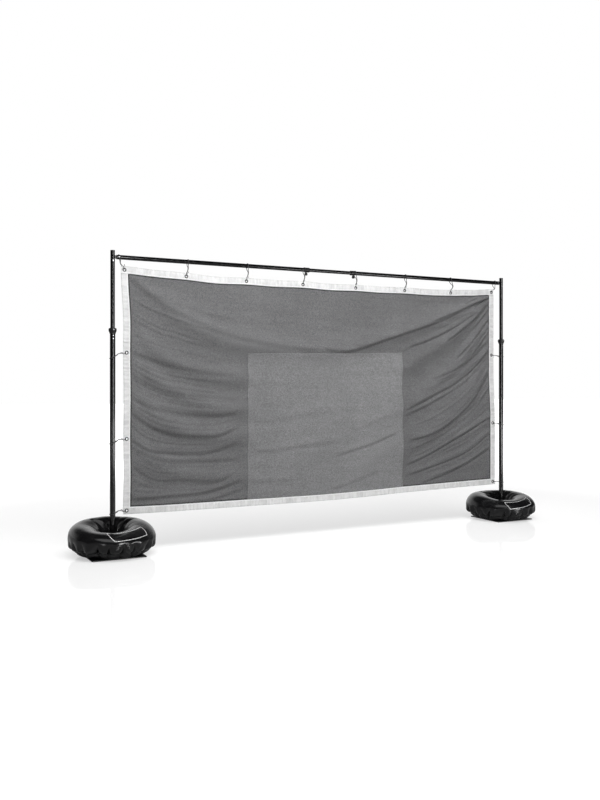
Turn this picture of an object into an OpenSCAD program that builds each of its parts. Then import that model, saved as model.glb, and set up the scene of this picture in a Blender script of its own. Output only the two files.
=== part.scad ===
// Pitching target net: two weighted telescoping uprights, a telescoping crossbar and a tied net.
// Millimetres. Origin on the floor, midway between the uprights. +X to the right, +Z up, front is -Y.

/* [Uprights] */
// Distance between the axes of the two uprights
pole_spacing = 3500; // [3300:10:3700]
// Height of the top of the upper tubes
pole_height = 2134; // [2100:1:2200]
// Outer diameter of the lower tubes
lower_tube_d = 38.1; // [38:0.1:40]
// Outer diameter of the upper tubes
upper_tube_d = 31.75; // [30:0.05:32]
// Wall of the upright and crossbar tubes
tube_wall = 1.5; // [1.2:0.1:1.8]
// Height of the top end of the lower tubes
lower_tube_top = 1572; // [1520:1:1600]
// Length of each upper tube
upper_tube_len = 1200; // [1100:10:1300]
// Height of the guide bush's collar under the upper tube
bush_h = 12; // [8:1:20]
// Depth of the guide bush's plug inside the upper tube
bush_plug_h = 20; // [12:1:30]

/* [Slip-lock collars] */
// Largest diameter of the collar
collar_d = 56; // [52:1:60]
// Wall of the collar's lower edge round the lower tube
collar_skirt = 2.6; // [2:0.1:4]
// Length of the lower tube that the collar covers
collar_seat = 22; // [18:1:26]
// Height of the lock ring's chamber in the collar
chamber_h = 10; // [9:0.5:12]
// Thickness of the collar's top above the chamber
collar_cap = 6; // [4:0.5:8]
// Width of the slit in the lock ring
ring_slit = 3; // [2:0.5:5]
// Diameter of the release button
button_d = 7.4; // [6:0.1:8]
// How far the release button stands out of the collar
button_out = 3.5; // [3.5:0.1:5]
// Travel of the release button
button_travel = 3; // [2:0.1:3]
// Diameter of the rivet heads under the collar
rivet_head_d = 8; // [6:0.5:10]
// Distance from the collar's lower edge to its first rivet
rivet_drop = 15; // [10:1:20]
// Distance between the two rivets
rivet_pitch = 20; // [12:1:30]

/* [Bases] */
// Side of the square base plate
plate_side = 380; // [340:5:420]
// Thickness of the base plate
plate_t = 6; // [5:0.5:10]
// Radius of the base plate's corners
plate_corner_r = 8; // [4:1:20]
// Radius of the flange of the base pin
flange_r = 32; // [28:1:40]
// Thickness of the flange of the base pin
flange_t = 5; // [4:0.5:8]
// Height of the base pin above its flange
pin_h = 140; // [100:5:180]
// Wall of the base pin
pin_wall = 5; // [3:0.5:6]
// Height of the solid foot of the base pin
pin_foot = 22; // [20:1:40]
// Radius of the base bolt
bolt_r = 5; // [4:0.5:6]

/* [Weight rings] */
// Outer radius of the filled ring
ring_r = 300; // [280:5:320]
// Radius of the ring's tube
ring_tube_r = 112; // [105:1:115]
// Depth of the flat on which the ring rests
ring_flat = 0.5; // [0.5:0.1:1]
// How far the ring's top sags on its low side
ring_sag = 46; // [0:1:60]
// Number of gathers round the ring
gathers = 20; // [16:4:24]
// Depth of a gather
gather_depth = 7; // [3:0.5:10]
// Radius of the fill valve's neck
neck_r = 11; // [9:0.5:12]
// Radius of the fill valve's welded flange
valve_flange_r = 20; // [18:0.5:24]
// Radius of the fill valve's cap
cap_r = 14; // [13:0.5:16]
// Height of the fill valve's cap
cap_h = 16; // [12:1:20]

/* [Crossbar] */
// Distance from the top of the uprights to the crossbar's axis
bar_drop = 46; // [40:1:60]
// Outer diameter of the crossbar's outer tubes
bar_d = 31.8; // [30:0.1:33]
// Gap between an upright's axis and the end of the crossbar
bar_end_gap = 31; // [29:1:40]
// Distance from the middle to a thumb screw
screw_x = 216; // [180:2:218]
// Length of the centre tube inside each outer tube
centre_overlap = 340; // [200:10:400]
// Outer diameter of the clamp sleeves
sleeve_d = 37; // [36:0.1:37]
// Length of a clamp sleeve
sleeve_len = 38; // [30:1:40]
// Width of the lip at the clamp sleeve's inner end, where the outer tube stops
sleeve_lip = 4; // [3:0.5:6]
// Radius of a thumb screw's shank
screw_r = 3; // [2.5:0.1:4]
// Half the width of a thumb screw's wing
wing_half = 12; // [9:0.5:14]
// Height of a thumb screw's wing
wing_h = 22; // [16:1:28]
// Thickness of the hook blade
blade_t = 5; // [4:0.5:6]
// Height of the hook blade's neck
blade_neck_h = 24; // [20:1:26]
// Radius of the seat pin across the upper tube
seat_pin_r = 4; // [3:0.5:5]
// Radius of the rivet through the crossbar's end
hook_pin_r = 3; // [2.5:0.1:4]

/* [Net] */
// Gap between an upright's axis and the net's edge
side_gap = 76; // [70:1:110]
// Distance from the crossbar's axis to the net's top edge
net_drop = 78; // [70:1:100]
// Height of the net's lower edge
net_bottom = 293; // [270:1:310]
// Width of the hem
hem_w = 50; // [44:1:56]
// Thickness of the hem
hem_t = 3; // [2:0.1:4]
// Thickness of the mesh
mesh_t = 1.6; // [1:0.1:2]
// Width of the target panel
panel_w = 1410; // [1200:10:1600]
// Height of the target panel above the lower hem
panel_h = 1111; // [1000:1:1200]
// Thickness of the target panel
panel_t = 1.2; // [0.8:0.1:2]
// Sag of the top hem between two grommets
hem_dip = 8; // [0:1:12]
// Pitch of the inner grommets of the top hem
grommet_pitch = 481; // [440:1:490]
// Height of the upper side grommets
side_grommet_high = 1412; // [1390:1:1430]
// Height of the lower side grommets
side_grommet_low = 814; // [780:1:860]
// Radius of a grommet's flange
grommet_r = 12; // [10:0.5:14]
// Radius of a grommet's hole
grommet_hole_r = 6; // [5.5:0.5:7]

/* [Ties] */
// Diameter of the elastic tie cord
cord_d = 4; // [3:0.1:4]
// Radius of a tie's bend through its grommet
tie_bend_r = 7; // [6.5:0.1:8]
// How much lower a side tie lies on its upright than at its grommet
side_tie_fall = 18; // [0:1:24]

/* [Hidden] */

round_fn = 48;
small_fn = 32;
// Clearance of fixed round fits, of moving ones, and between soft pieces
fit = 0.1;
running = 0.3;
seam = 0.3;
// How far a cut runs past the face that it opens
over = 1;

half_span = pole_spacing / 2;
lower_r = lower_tube_d / 2;
upper_r = upper_tube_d / 2;
upper_bottom = pole_height - upper_tube_len;
bush_r = lower_r - tube_wall - running;

collar_bottom = lower_tube_top - collar_seat;
collar_len = collar_seat + chamber_h + collar_cap;
chamber_margin = 1.5;
chamber_r = lower_r + chamber_margin;
button_z = lower_tube_top + chamber_h / 2;
lock_ring_h = chamber_h - 2 * running;
button_bore_r = button_d / 2 + running;
button_inner = chamber_r + button_travel + running;
button_outer = collar_d / 2 + button_out;
collar_lip = 4;
collar_shoulder = 5;
collar_round = 2;
button_bevel = 1;
rivet_r = 2;
rivet_head_t = 1.6;
bush_wall = 3;

flange_top = plate_t + flange_t;
bolt_head_r = 2 * bolt_r;
bolt_inset = 4;
bolt_top = flange_top + pin_foot - bolt_inset;

ring_centre_r = ring_r - ring_tube_r;
ring_floor = plate_t + seam;
ring_centre_z = ring_floor + ring_tube_r - ring_flat;
ring_sides = 16;
// Direction round the ring of its low side, at the front
ring_low_turn = -110;
// Where round the ring's section the gathers pull most, and how strongly at the hole
gather_low = -35;
gather_hole = 190;
gather_hole_share = 0.6;
// The fill valve sits on the ring's inner shoulder, at the back, leaning inwards
valve_tilt = 45;
valve_flange_t = 2.5;
valve_seat = -2;
neck_in = 20;
neck_step = 1.5;
thread_r = neck_r - neck_step;
thread_h = 12;
neck_wall = 2;
cap_grips = 12;
grip_r = 1.5;
grip_out = 0.6;

bar_z = pole_height - bar_drop;
bar_r = bar_d / 2;
bar_end_x = half_span - bar_end_gap;
centre_gap = 0.4;
centre_r = bar_r - tube_wall - centre_gap;
sleeve_r = sleeve_d / 2;
// Distance from a thumb screw to its sleeve's outer end
screw_inset = 11;
sleeve_inner_x = screw_x + screw_inset - sleeve_len;
shoulder_x = sleeve_inner_x + sleeve_lip;
wing_gap = 2.5;
wing_t = 8;
wing_neck = 9;
wing_corner = 5;
wing_taper = 4;
boss_wall = 2;
plug_len = 34;
plug_rim = 3;
plug_r = bar_r - tube_wall - fit;
blade_in_bar = 27;
blade_end_room = 7;
hook_rivet_inset = 14;
hook_rivet_x = bar_end_x - hook_rivet_inset;
hook_head = 2;
hook_bevel = 2;
// How far the hook's foot reaches back from the upright's axis
hook_back = -3;
head_t = 2;
seat_pin_drop = 16;
seat_pin_head = 1.5;
seat_pin_z = bar_z - blade_neck_h / 2 - seat_pin_drop;
slot_play = 1;
slot_w = blade_t + 2 * slot_play;
slot_bottom = bar_z - blade_neck_h / 2 - running;

net_half = half_span - side_gap;
net_top = bar_z - net_drop;
mesh_half = net_half - hem_w;
mesh_bottom = net_bottom + hem_w;
mesh_top = net_top - hem_w;
panel_half = panel_w / 2;
panel_top = mesh_bottom + panel_h;
// The net hangs against the front of the crossbar, clear of its clamp sleeves
net_gap = 0.5;
net_y = -(sleeve_r + net_gap + hem_t / 2);
grommet_z = net_top - hem_w / 2;
corner_x = net_half - hem_w / 2;
corner_z = net_bottom + hem_w / 2;
inner_grommets = [for (k = [-2.5:1:2.5]) k * grommet_pitch];
top_grommet_x = concat([-corner_x], inner_grommets, [corner_x]);
side_grommet_z = [side_grommet_high, side_grommet_low, corner_z];
grommet_flange_t = 0.9;
grommet_wall = 1;
cord_r = cord_d / 2;

// Columns and rows of the cloth's grid: the panel's own columns, then the rest on each side and above
side_cells = 8;
panel_cells = 12;
panel_rows = 10;
top_rows = 6;
function steps(a, b, n) = [for (k = [0:n]) a + (b - a) * k / n];
function tail(v) = [for (k = [1:len(v) - 1]) v[k]];
panel_columns = steps(-panel_half, panel_half, panel_cells);
cloth_columns = concat(
    steps(-mesh_half, -panel_half, side_cells),
    tail(panel_columns),
    tail(steps(panel_half, mesh_half, side_cells))
);
panel_levels = steps(mesh_bottom, panel_top, panel_rows);
cloth_levels = concat(panel_levels, tail(steps(panel_top, mesh_top, top_rows)));

// Main folds of the hung mesh. Each crest runs from a low end to a high end:
// [low x, low z, high x, high z, how late it rises, depth, half width]
folds = [
    [0, 1490, -mesh_half, mesh_top, 3.2, 30, 90],
    [0, 1490, mesh_half, mesh_top, 1.3, 30, 90],
    [-panel_half, 1270, -mesh_half, 1560, 2.6, 26, 70],
    [-panel_half, 1040, -mesh_half, 1380, 2.4, 22, 70],
    [-panel_half, 830, -mesh_half, 1130, 3, 26, 70],
    [-panel_half, 520, -mesh_half, 700, 2, 20, 70],
    [panel_half, 1330, mesh_half, 1900, 1.2, 24, 80],
    [panel_half, 1010, mesh_half, 1700, 1.3, 24, 80],
    [panel_half, 640, mesh_half, 1330, 1.3, 20, 80],
    [260, 520, 1200, 1000, 1, 12, 80]
];
fold_fade = 150;

function unit_step(t) = max(0, min(1, t));
function rise(t) = let(u = unit_step(t)) u * u * (3 - 2 * u);
function one_fold(f, x, z) =
    let(
        u = (x - f[0]) / (f[2] - f[0]),
        crest = f[1] + (f[3] - f[1]) * pow(unit_step(u), f[4]),
        along = rise(4 * u + 0.6) * rise(4 * (1.05 - u))
    )
    f[5] * along * exp(-pow((z - crest) / f[6], 2));
function fold_sum(x, z, k = 0) = k == len(folds) ? 0 : one_fold(folds[k], x, z) + fold_sum(x, z, k + 1);
function cloth_fade(x, z) =
    rise((mesh_half - abs(x)) / fold_fade)
    * rise((z - mesh_bottom) / fold_fade)
    * rise((mesh_top - z) / fold_fade);
function cloth_out(x, z) = cloth_fade(x, z) * fold_sum(x, z);

// Sag of the top hem at one place along it: nothing at a grommet, most midway between two
function sag_between(x, a, b) = x >= a && x < b ? hem_dip * pow(sin(180 * (x - a) / (b - a)), 2) : 0;
function hem_sag(x, k = 0) =
    abs(x) >= mesh_half || k == len(top_grommet_x) - 1 ? 0
    : sag_between(x, top_grommet_x[k], top_grommet_x[k + 1]) + hem_sag(x, k + 1);
function cloth_drop(x, z) = hem_sag(x) * rise((z - panel_top) / (mesh_top - panel_top));

// A closed sheet that follows the cloth: its grid, and how far its two faces lie in front of the middle
module cloth(columns, levels, front, back) {
    nx = len(columns);
    nz = len(levels);
    half = nx * nz;
    face = function(depth) [
        for (z = levels) for (x = columns)
            [x, net_y - cloth_out(x, z) - depth, z - cloth_drop(x, z)]
    ];
    at = function(i, j) j * nx + i;
    skin = [for (j = [0:nz - 2]) for (i = [0:nx - 2])
        [at(i, j), at(i, j + 1), at(i + 1, j + 1), at(i + 1, j)]];
    rim = concat(
        [for (i = [0:nx - 1]) at(i, 0)],
        [for (j = [1:nz - 1]) at(nx - 1, j)],
        [for (i = [nx - 2:-1:0]) at(i, nz - 1)],
        [for (j = [nz - 2:-1:1]) at(0, j)]
    );
    triangles = concat(
        [for (q = skin) for (t = [[q[0], q[1], q[2]], [q[0], q[2], q[3]]]) t],
        [for (q = skin) for (t = [[q[2], q[1], q[0]], [q[3], q[2], q[0]]]) [for (v = t) v + half]],
        [for (k = [0:len(rim) - 1]) let(a = rim[k], b = rim[(k + 1) % len(rim)])
            for (t = [[a, b, b + half], [a, b + half, a + half]]) t]
    );
    polyhedron(concat(face(front), face(back)), triangles, convexity = 8);
}

// Puts a piece drawn for the left upright, with +X towards the net, on one side
module on_side(side) {
    if (side < 0) translate([-half_span, 0, 0]) children();
    else translate([half_span, 0, 0]) mirror([1, 0, 0]) children();
}

module tube(outer_r, wall, h) {
    difference() {
        cylinder(r = outer_r, h = h, $fn = round_fn);
        translate([0, 0, -over]) cylinder(r = outer_r - wall, h = h + 2 * over, $fn = round_fn);
    }
}

// A round piece along Y, centred on the origin
module across(r, h) {
    rotate([90, 0, 0]) cylinder(r = r, h = h, center = true, $fn = small_fn);
}

// A rivet along Y with a domed head at each end
module through_rivet(r, grip, head_r) {
    across(r, grip + 2 * head_t);
    for (end = [-1, 1])
        rotate([90 * end, 0, 0]) translate([0, 0, grip / 2])
            cylinder(r1 = head_r, r2 = head_r * 0.7, h = head_t, $fn = small_fn);
}

module base_plate(side) {
    straight = plate_side / 2 - plate_corner_r;
    color("#1c1c1e") on_side(side) difference() {
        linear_extrude(plate_t) {
            square([plate_side, 2 * straight], center = true);
            square([2 * straight, plate_side], center = true);
            for (x = [-1, 1]) for (y = [-1, 1])
                translate([x * straight, y * straight]) circle(plate_corner_r, $fn = round_fn);
        }
        translate([0, 0, -over]) cylinder(r = bolt_r + fit, h = plate_t + 2 * over, $fn = round_fn);
        translate([0, 0, -0.01])
            cylinder(r1 = bolt_head_r + fit, r2 = bolt_r + fit, h = bolt_r, $fn = round_fn);
    }
}

module base_pin(side) {
    color("#2a2a2c") on_side(side) difference() {
        translate([0, 0, plate_t]) union() {
            cylinder(r = flange_r, h = flange_t, $fn = round_fn);
            cylinder(r = bush_r, h = flange_t + pin_h, $fn = round_fn);
        }
        translate([0, 0, flange_top + pin_foot])
            cylinder(r = bush_r - pin_wall, h = pin_h, $fn = round_fn);
        translate([0, 0, plate_t - over])
            cylinder(r = bolt_r + fit, h = bolt_top - plate_t + over + running, $fn = round_fn);
    }
}

module base_bolts() {
    color("#8b8b8b") for (side = [-1, 1]) on_side(side) {
        translate([0, 0, running]) cylinder(r1 = bolt_head_r - running, r2 = bolt_r,
            h = bolt_r - running, $fn = round_fn);
        translate([0, 0, bolt_r - 0.01])
            cylinder(r = bolt_r, h = bolt_top - bolt_r, $fn = round_fn);
    }
}

module lower_tube(side) {
    color("#1c1c1e") on_side(side) difference() {
        translate([0, 0, flange_top]) tube(lower_r, tube_wall, lower_tube_top - flange_top);
        for (k = [0, 1])
            translate([0, -lower_r, collar_bottom - rivet_drop - k * rivet_pitch])
                across(rivet_r + fit, 4 * tube_wall);
    }
}

module collar(side) {
    skirt_r = lower_r + fit + collar_skirt;
    color("#101012") on_side(side) difference() {
        translate([0, 0, collar_bottom]) rotate_extrude($fn = round_fn) {
            polygon([
                [lower_r + fit, 0],
                [skirt_r, 0],
                [skirt_r + collar_lip / 8, collar_lip],
                [collar_d / 2, collar_seat - collar_round],
                [collar_d / 2, collar_len - 3 * collar_round],
                [collar_d / 2 - collar_round, collar_len - collar_round],
                [collar_d / 2 - collar_shoulder, collar_len],
                [upper_r + running, collar_len],
                [upper_r + running, collar_seat + chamber_h],
                [chamber_r, collar_seat + chamber_h],
                [chamber_r, collar_seat],
                [lower_r + fit, collar_seat]
            ]);
        }
        translate([0, -collar_d / 2, button_z]) across(button_bore_r, collar_d - 2 * upper_r);
    }
}

module lock_ring(side) {
    color("#b08d4a") on_side(side) translate([0, 0, lower_tube_top + running]) difference() {
        tube(chamber_r - running, chamber_r - upper_r - 2 * running, lock_ring_h);
        translate([-ring_slit / 2, 0, -over]) cube([ring_slit, collar_d, lock_ring_h + 2 * over]);
    }
}

module lock_button(side) {
    length = button_outer - button_inner;
    color("#d9d9d9") on_side(side) translate([0, -button_inner, button_z]) rotate([90, 0, 0])
        rotate_extrude($fn = small_fn) polygon([
            [0, 0], [button_d / 2, 0], [button_d / 2, length - button_bevel],
            [button_d / 2 - button_bevel, length - button_bevel / 4],
            [button_d / 4, length], [0, length]
        ]);
}

module collar_rivets() {
    color("#9a9a9a") for (side = [-1, 1]) on_side(side) for (k = [0, 1])
        translate([0, 0, collar_bottom - rivet_drop - k * rivet_pitch]) {
            translate([0, -lower_r + tube_wall / 2, 0]) across(rivet_r, tube_wall + 2 * over);
            translate([0, -lower_r - fit, 0]) rotate([90, 0, 0])
                cylinder(r1 = rivet_head_d / 2, r2 = rivet_head_d / 3, h = rivet_head_t, $fn = small_fn);
        }
}

// Radius of the ring's tube at an angle round the ring and an angle round its section.
// Gathers pull in the seam at the outer lower side and at the hole.
function gather_pull(section) =
    gather_depth * (pow(max(0, cos(section - gather_low)), 2)
        + gather_hole_share * pow(max(0, cos(section - gather_hole)), 4));
function ring_tube(k, section) = ring_tube_r - (k % 2 == 1 ? gather_pull(section) : 0);
// The share of its height that the ring's upper half keeps at an angle round the ring
function ring_kept(turn) = 1 - ring_sag / ring_tube_r * pow((1 + cos(turn - ring_low_turn)) / 2, 2);
function ring_point(k, section) =
    let(
        turn = 90 + 180 * k / gathers,
        r = ring_centre_r + ring_tube(k, section) * cos(section),
        height = ring_tube(k, section) * sin(section),
        z = max(ring_floor, ring_centre_z + height * (height > 0 ? ring_kept(turn) : 1))
    )
    [r * cos(turn), r * sin(turn), z];

// Places a piece of the fill valve, with +Z out of the ring, on the ring's inner shoulder
module on_valve(side) {
    translate([side * half_span, ring_centre_r - ring_tube_r * cos(valve_tilt),
        ring_centre_z + ring_tube_r * sin(valve_tilt)])
        rotate([valve_tilt, 0, 0]) children();
}

module weight_ring(side) {
    count = 2 * gathers;
    section_step = 360 / ring_sides;
    points = [for (k = [0:count - 1]) for (s = [0:ring_sides - 1]) ring_point(k, s * section_step)];
    at = function(k, s) (k % count) * ring_sides + s % ring_sides;
    triangles = [for (k = [0:count - 1]) for (s = [0:ring_sides - 1])
        for (t = [
            [at(k, s), at(k, s + 1), at(k + 1, s + 1)],
            [at(k, s), at(k + 1, s + 1), at(k + 1, s)]
        ]) t];
    color("#141416") difference() {
        translate([side * half_span, 0, 0]) polyhedron(points, triangles, convexity = 8);
        on_valve(side) {
            translate([0, 0, valve_seat])
                cylinder(r = valve_flange_r + seam, h = valve_flange_r, $fn = small_fn);
            translate([0, 0, -neck_in - seam])
                cylinder(r = neck_r + seam, h = neck_in, $fn = small_fn);
        }
    }
}

module valve_neck(side) {
    color("#6a6a6c") on_valve(side) difference() {
        union() {
            translate([0, 0, -neck_in])
                cylinder(r = neck_r, h = neck_in + valve_seat + seam + over, $fn = small_fn);
            translate([0, 0, valve_seat + seam])
                cylinder(r = valve_flange_r, h = valve_flange_t, $fn = small_fn);
            cylinder(r = thread_r, h = valve_seat + valve_flange_t + thread_h, $fn = small_fn);
        }
        translate([0, 0, -neck_in - over])
            cylinder(r = thread_r - neck_wall, h = neck_in + 2 * thread_h, $fn = small_fn);
    }
}

module valve_cap(side) {
    cap_bottom = valve_seat + valve_flange_t + 2 * seam;
    color("#8a8a8c") on_valve(side) difference() {
        translate([0, 0, cap_bottom]) cylinder(r = cap_r, h = cap_h, $fn = small_fn);
        translate([0, 0, cap_bottom - over])
            cylinder(r = thread_r + running, h = thread_h + over, $fn = small_fn);
        for (k = [0:cap_grips - 1]) rotate([0, 0, 360 * k / cap_grips])
            translate([cap_r + grip_out, 0, cap_bottom - over])
                cylinder(r = grip_r, h = cap_h + 2 * over, $fn = small_fn);
    }
}

module upper_tube(side) {
    color("#1c1c1e") on_side(side) difference() {
        translate([0, 0, upper_bottom]) tube(upper_r, tube_wall, upper_tube_len);
        translate([0, -slot_w / 2, slot_bottom])
            cube([2 * upper_r, slot_w, blade_neck_h + 2 * running + 2 * slot_play]);
        translate([0, 0, seat_pin_z]) across(seat_pin_r + fit, 3 * upper_r);
    }
}

module guide_bush(side) {
    plug_outer = upper_r - tube_wall - fit;
    color("#303034") on_side(side) translate([0, 0, upper_bottom - bush_h]) difference() {
        union() {
            cylinder(r = bush_r, h = bush_h, $fn = round_fn);
            cylinder(r = plug_outer, h = bush_h + bush_plug_h, $fn = round_fn);
        }
        translate([0, 0, -over])
            cylinder(r = plug_outer - bush_wall, h = bush_h + bush_plug_h + 2 * over, $fn = round_fn);
    }
}

module seat_pin(side) {
    color("#b5b5b5") on_side(side) translate([0, 0, seat_pin_z])
        through_rivet(seat_pin_r, 2 * (upper_r + fit), seat_pin_r + seat_pin_head);
}

module crossbar_tube(side) {
    color("#1c1c1e") difference() {
        translate([side * shoulder_x, 0, bar_z]) rotate([0, side * 90, 0])
            tube(bar_r, tube_wall, bar_end_x - shoulder_x);
        translate([side * hook_rivet_x, 0, bar_z]) across(hook_pin_r + fit, 3 * bar_r);
        screw_hole(side);
    }
}

// Hole from below for a thumb screw's shank
module screw_hole(side) {
    translate([side * screw_x, 0, bar_z - 2 * sleeve_r])
        cylinder(r = screw_r + fit, h = 2 * sleeve_r, $fn = small_fn);
}

module crossbar_centre_tube() {
    half = shoulder_x + centre_overlap;
    color("#232325") translate([-half, 0, bar_z]) rotate([0, 90, 0])
        tube(centre_r, tube_wall, 2 * half);
}

module clamp_sleeve(side) {
    color("#111113") difference() {
        translate([side * sleeve_inner_x, 0, bar_z]) rotate([0, side * 90, 0]) difference() {
            cylinder(r = sleeve_r, h = sleeve_len, $fn = round_fn);
            translate([0, 0, -over]) cylinder(r = centre_r + running, h = sleeve_len, $fn = round_fn);
            translate([0, 0, shoulder_x - sleeve_inner_x])
                cylinder(r = bar_r + fit, h = sleeve_len, $fn = round_fn);
        }
        screw_hole(side);
    }
}

module thumb_screw(side) {
    wing_top = sleeve_r + wing_gap;
    wing_bottom = wing_top + wing_h;
    color("#0c0c0d") translate([side * screw_x, 0, bar_z]) {
        translate([0, 0, -wing_top - wing_corner])
            cylinder(r = screw_r, h = wing_top + wing_corner - centre_r - running, $fn = small_fn);
        translate([0, 0, -wing_top - wing_h / 2])
            cylinder(r = screw_r + boss_wall, h = wing_h / 2 + boss_wall, $fn = small_fn);
        rotate([90, 0, 0]) linear_extrude(wing_t, center = true) polygon([
            [-wing_neck, -wing_top], [-wing_half, wing_corner - wing_bottom],
            [wing_taper - wing_half, -wing_bottom], [wing_half - wing_taper, -wing_bottom],
            [wing_half, wing_corner - wing_bottom], [wing_neck, -wing_top]
        ]);
    }
}

module bar_end_plug(side) {
    color("#202022") difference() {
        translate([side * bar_end_x, 0, bar_z]) rotate([0, -side * 90, 0]) {
            translate([0, 0, -plug_rim]) cylinder(r = bar_r, h = plug_rim, $fn = round_fn);
            cylinder(r = plug_r, h = plug_len, $fn = round_fn);
        }
        translate([side * (bar_end_x - blade_in_bar / 2 + blade_end_room - over), 0, bar_z])
            cube([blade_in_bar + 2 * (blade_end_room - over), blade_t + 2 * fit,
                blade_neck_h + 2 * fit], center = true);
        translate([side * hook_rivet_x, 0, bar_z]) across(hook_pin_r + fit, 3 * bar_r);
    }
}

// Outline of a hook blade, with X out from the upright's axis and Y up from the crossbar's axis
module hook_outline() {
    neck = blade_neck_h / 2;
    inside_x = upper_r - tube_wall - running;
    hook_foot = seat_pin_z + seat_pin_r + running - bar_z;
    polygon([
        [bar_end_gap + blade_in_bar, neck], [bar_end_gap + blade_in_bar, -neck],
        [inside_x, -neck], [inside_x, hook_foot + hook_bevel], [inside_x - hook_bevel, hook_foot],
        [hook_back, hook_foot], [hook_back, hook_foot + 2 * hook_bevel],
        [inside_x / 2, neck - 2 * hook_bevel], [inside_x - 2 * hook_bevel, neck]
    ]);
}

module hook_blade(side) {
    color("#3a3a3c") on_side(side) translate([0, 0, bar_z]) difference() {
        rotate([90, 0, 0]) linear_extrude(blade_t, center = true) hook_outline();
        translate([half_span - hook_rivet_x, 0, 0]) across(hook_pin_r + fit, 3 * blade_t);
    }
}

module hook_rivets() {
    color("#b5b5b5") for (side = [-1, 1]) translate([side * hook_rivet_x, 0, bar_z])
        through_rivet(hook_pin_r, 2 * (bar_r + fit), hook_pin_r + hook_head);
}

module net_mesh() {
    inner = function(v) [for (k = [0:len(v) - 1])
        k == 0 ? v[k] + seam : k == len(v) - 1 ? v[k] - seam : v[k]];
    color("#6e6e70") cloth(inner(cloth_columns), inner(cloth_levels), mesh_t / 2, -mesh_t / 2);
}

module target_panel() {
    back = mesh_t / 2 + seam;
    lifted = concat([mesh_bottom + seam], tail(panel_levels));
    color("#8a8a8c") cloth(panel_columns, lifted, back + panel_t, back);
}

// Hole for a grommet's barrel
module grommet_hole(x, z) {
    translate([x, net_y, z]) across(grommet_hole_r + grommet_wall + fit, 4 * hem_t);
}

module hem_strip(points) {
    translate([0, net_y + hem_t / 2, 0]) rotate([90, 0, 0]) linear_extrude(hem_t) polygon(points);
}

module hem_top() {
    outer = [for (x = cloth_columns) [x, net_top - hem_sag(x)]];
    inner = [for (k = [len(cloth_columns) - 1:-1:0])
        let(x = cloth_columns[k]) [x, mesh_top - hem_sag(x)]];
    color("#e6e6e6") difference() {
        hem_strip(concat([[-net_half, mesh_top], [-net_half, net_top]], outer,
            [[net_half, net_top], [net_half, mesh_top]], inner));
        for (x = top_grommet_x) grommet_hole(x, grommet_z);
    }
}

module hem_bottom() {
    color("#e6e6e6") difference() {
        hem_strip([[-net_half, net_bottom], [net_half, net_bottom],
            [net_half, mesh_bottom], [-net_half, mesh_bottom]]);
        for (x = [-corner_x, corner_x]) grommet_hole(x, corner_z);
    }
}

module hem_side(side) {
    color("#e6e6e6") difference() {
        hem_strip([for (p = [[mesh_half, mesh_bottom + seam], [net_half, mesh_bottom + seam],
            [net_half, mesh_top - seam], [mesh_half, mesh_top - seam]]) [side * p[0], p[1]]]);
        for (z = [side_grommet_high, side_grommet_low]) grommet_hole(side * corner_x, z);
    }
}

module grommet(x, z) {
    face = hem_t / 2;
    translate([x, net_y, z]) rotate([90, 0, 0]) rotate_extrude($fn = small_fn) polygon([
        [grommet_hole_r, -face - grommet_flange_t], [grommet_r, -face - grommet_flange_t],
        [grommet_r, -face], [grommet_hole_r + grommet_wall, -face],
        [grommet_hole_r + grommet_wall, face], [grommet_r, face],
        [grommet_r, face + grommet_flange_t], [grommet_hole_r, face + grommet_flange_t]
    ]);
}

module top_grommets() {
    color("#3c3c3e") for (x = top_grommet_x) grommet(x, grommet_z);
}

module side_grommets() {
    color("#3c3c3e") for (side = [-1, 1]) for (z = side_grommet_z) grommet(side * corner_x, z);
}

// A tie is a closed loop of cord round a tube and through a grommet: two arcs and the straights between
function unit(v) = v / norm(v);
tube_arc_steps = 9;
hem_arc_steps = 6;
cord_sides = 6;
function tie_path(tube_r, length) =
    let(
        wrap = tube_r + cord_r + seam,
        reach = length - tie_bend_r,
        lean = asin((wrap - tie_bend_r) / reach),
        round_tube = steps(lean, -180 - lean, tube_arc_steps),
        round_hem = steps(180 - lean, lean, hem_arc_steps)
    )
    concat(
        [for (a = round_tube) wrap * [cos(a), sin(a)]],
        [for (a = round_hem) [0, reach] + tie_bend_r * [cos(a), sin(a)]]
    );

// The tie goes from a point on a tube's axis to a grommet; along is the tube's direction
module tie(from, to, tube_r, along) {
    length = norm(to - from);
    down = unit(to - from);
    out = unit([0, 1, 0] - down[1] * down);
    normal = cross(down, out);
    slant = sqrt(1 - pow(down * along, 2));
    path = tie_path(tube_r / slant, length);
    count = len(path);
    points = [for (k = [0:count - 1])
        let(
            ahead = path[(k + 1) % count] - path[(k + count - 1) % count],
            across_cord = unit([ahead[1], -ahead[0]])
        )
        for (s = [0:cord_sides - 1])
            let(
                a = 360 * s / cord_sides,
                p = path[k] + cord_r * cos(a) * across_cord
            )
            from + p[0] * out + p[1] * down + cord_r * sin(a) * normal];
    at = function(k, s) (k % count) * cord_sides + s % cord_sides;
    polyhedron(points, [for (k = [0:count - 1]) for (s = [0:cord_sides - 1])
        for (t = [
            [at(k, s), at(k + 1, s + 1), at(k, s + 1)],
            [at(k, s), at(k + 1, s), at(k + 1, s + 1)]
        ]) t], convexity = 4);
}

// Where each top tie lies on the crossbar: the corner ties lean out, the rest lean a little to the right
tie_lean_out = 34;
tie_lean = 10;

module top_ties() {
    last = len(top_grommet_x) - 1;
    color("#2c2c2e") for (k = [0:last]) {
        x = top_grommet_x[k];
        bar_x = k == 0 ? x - tie_lean_out : x + tie_lean;
        tie([bar_x, 0, bar_z], [x, net_y, grommet_z], bar_r, [1, 0, 0]);
    }
}

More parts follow.
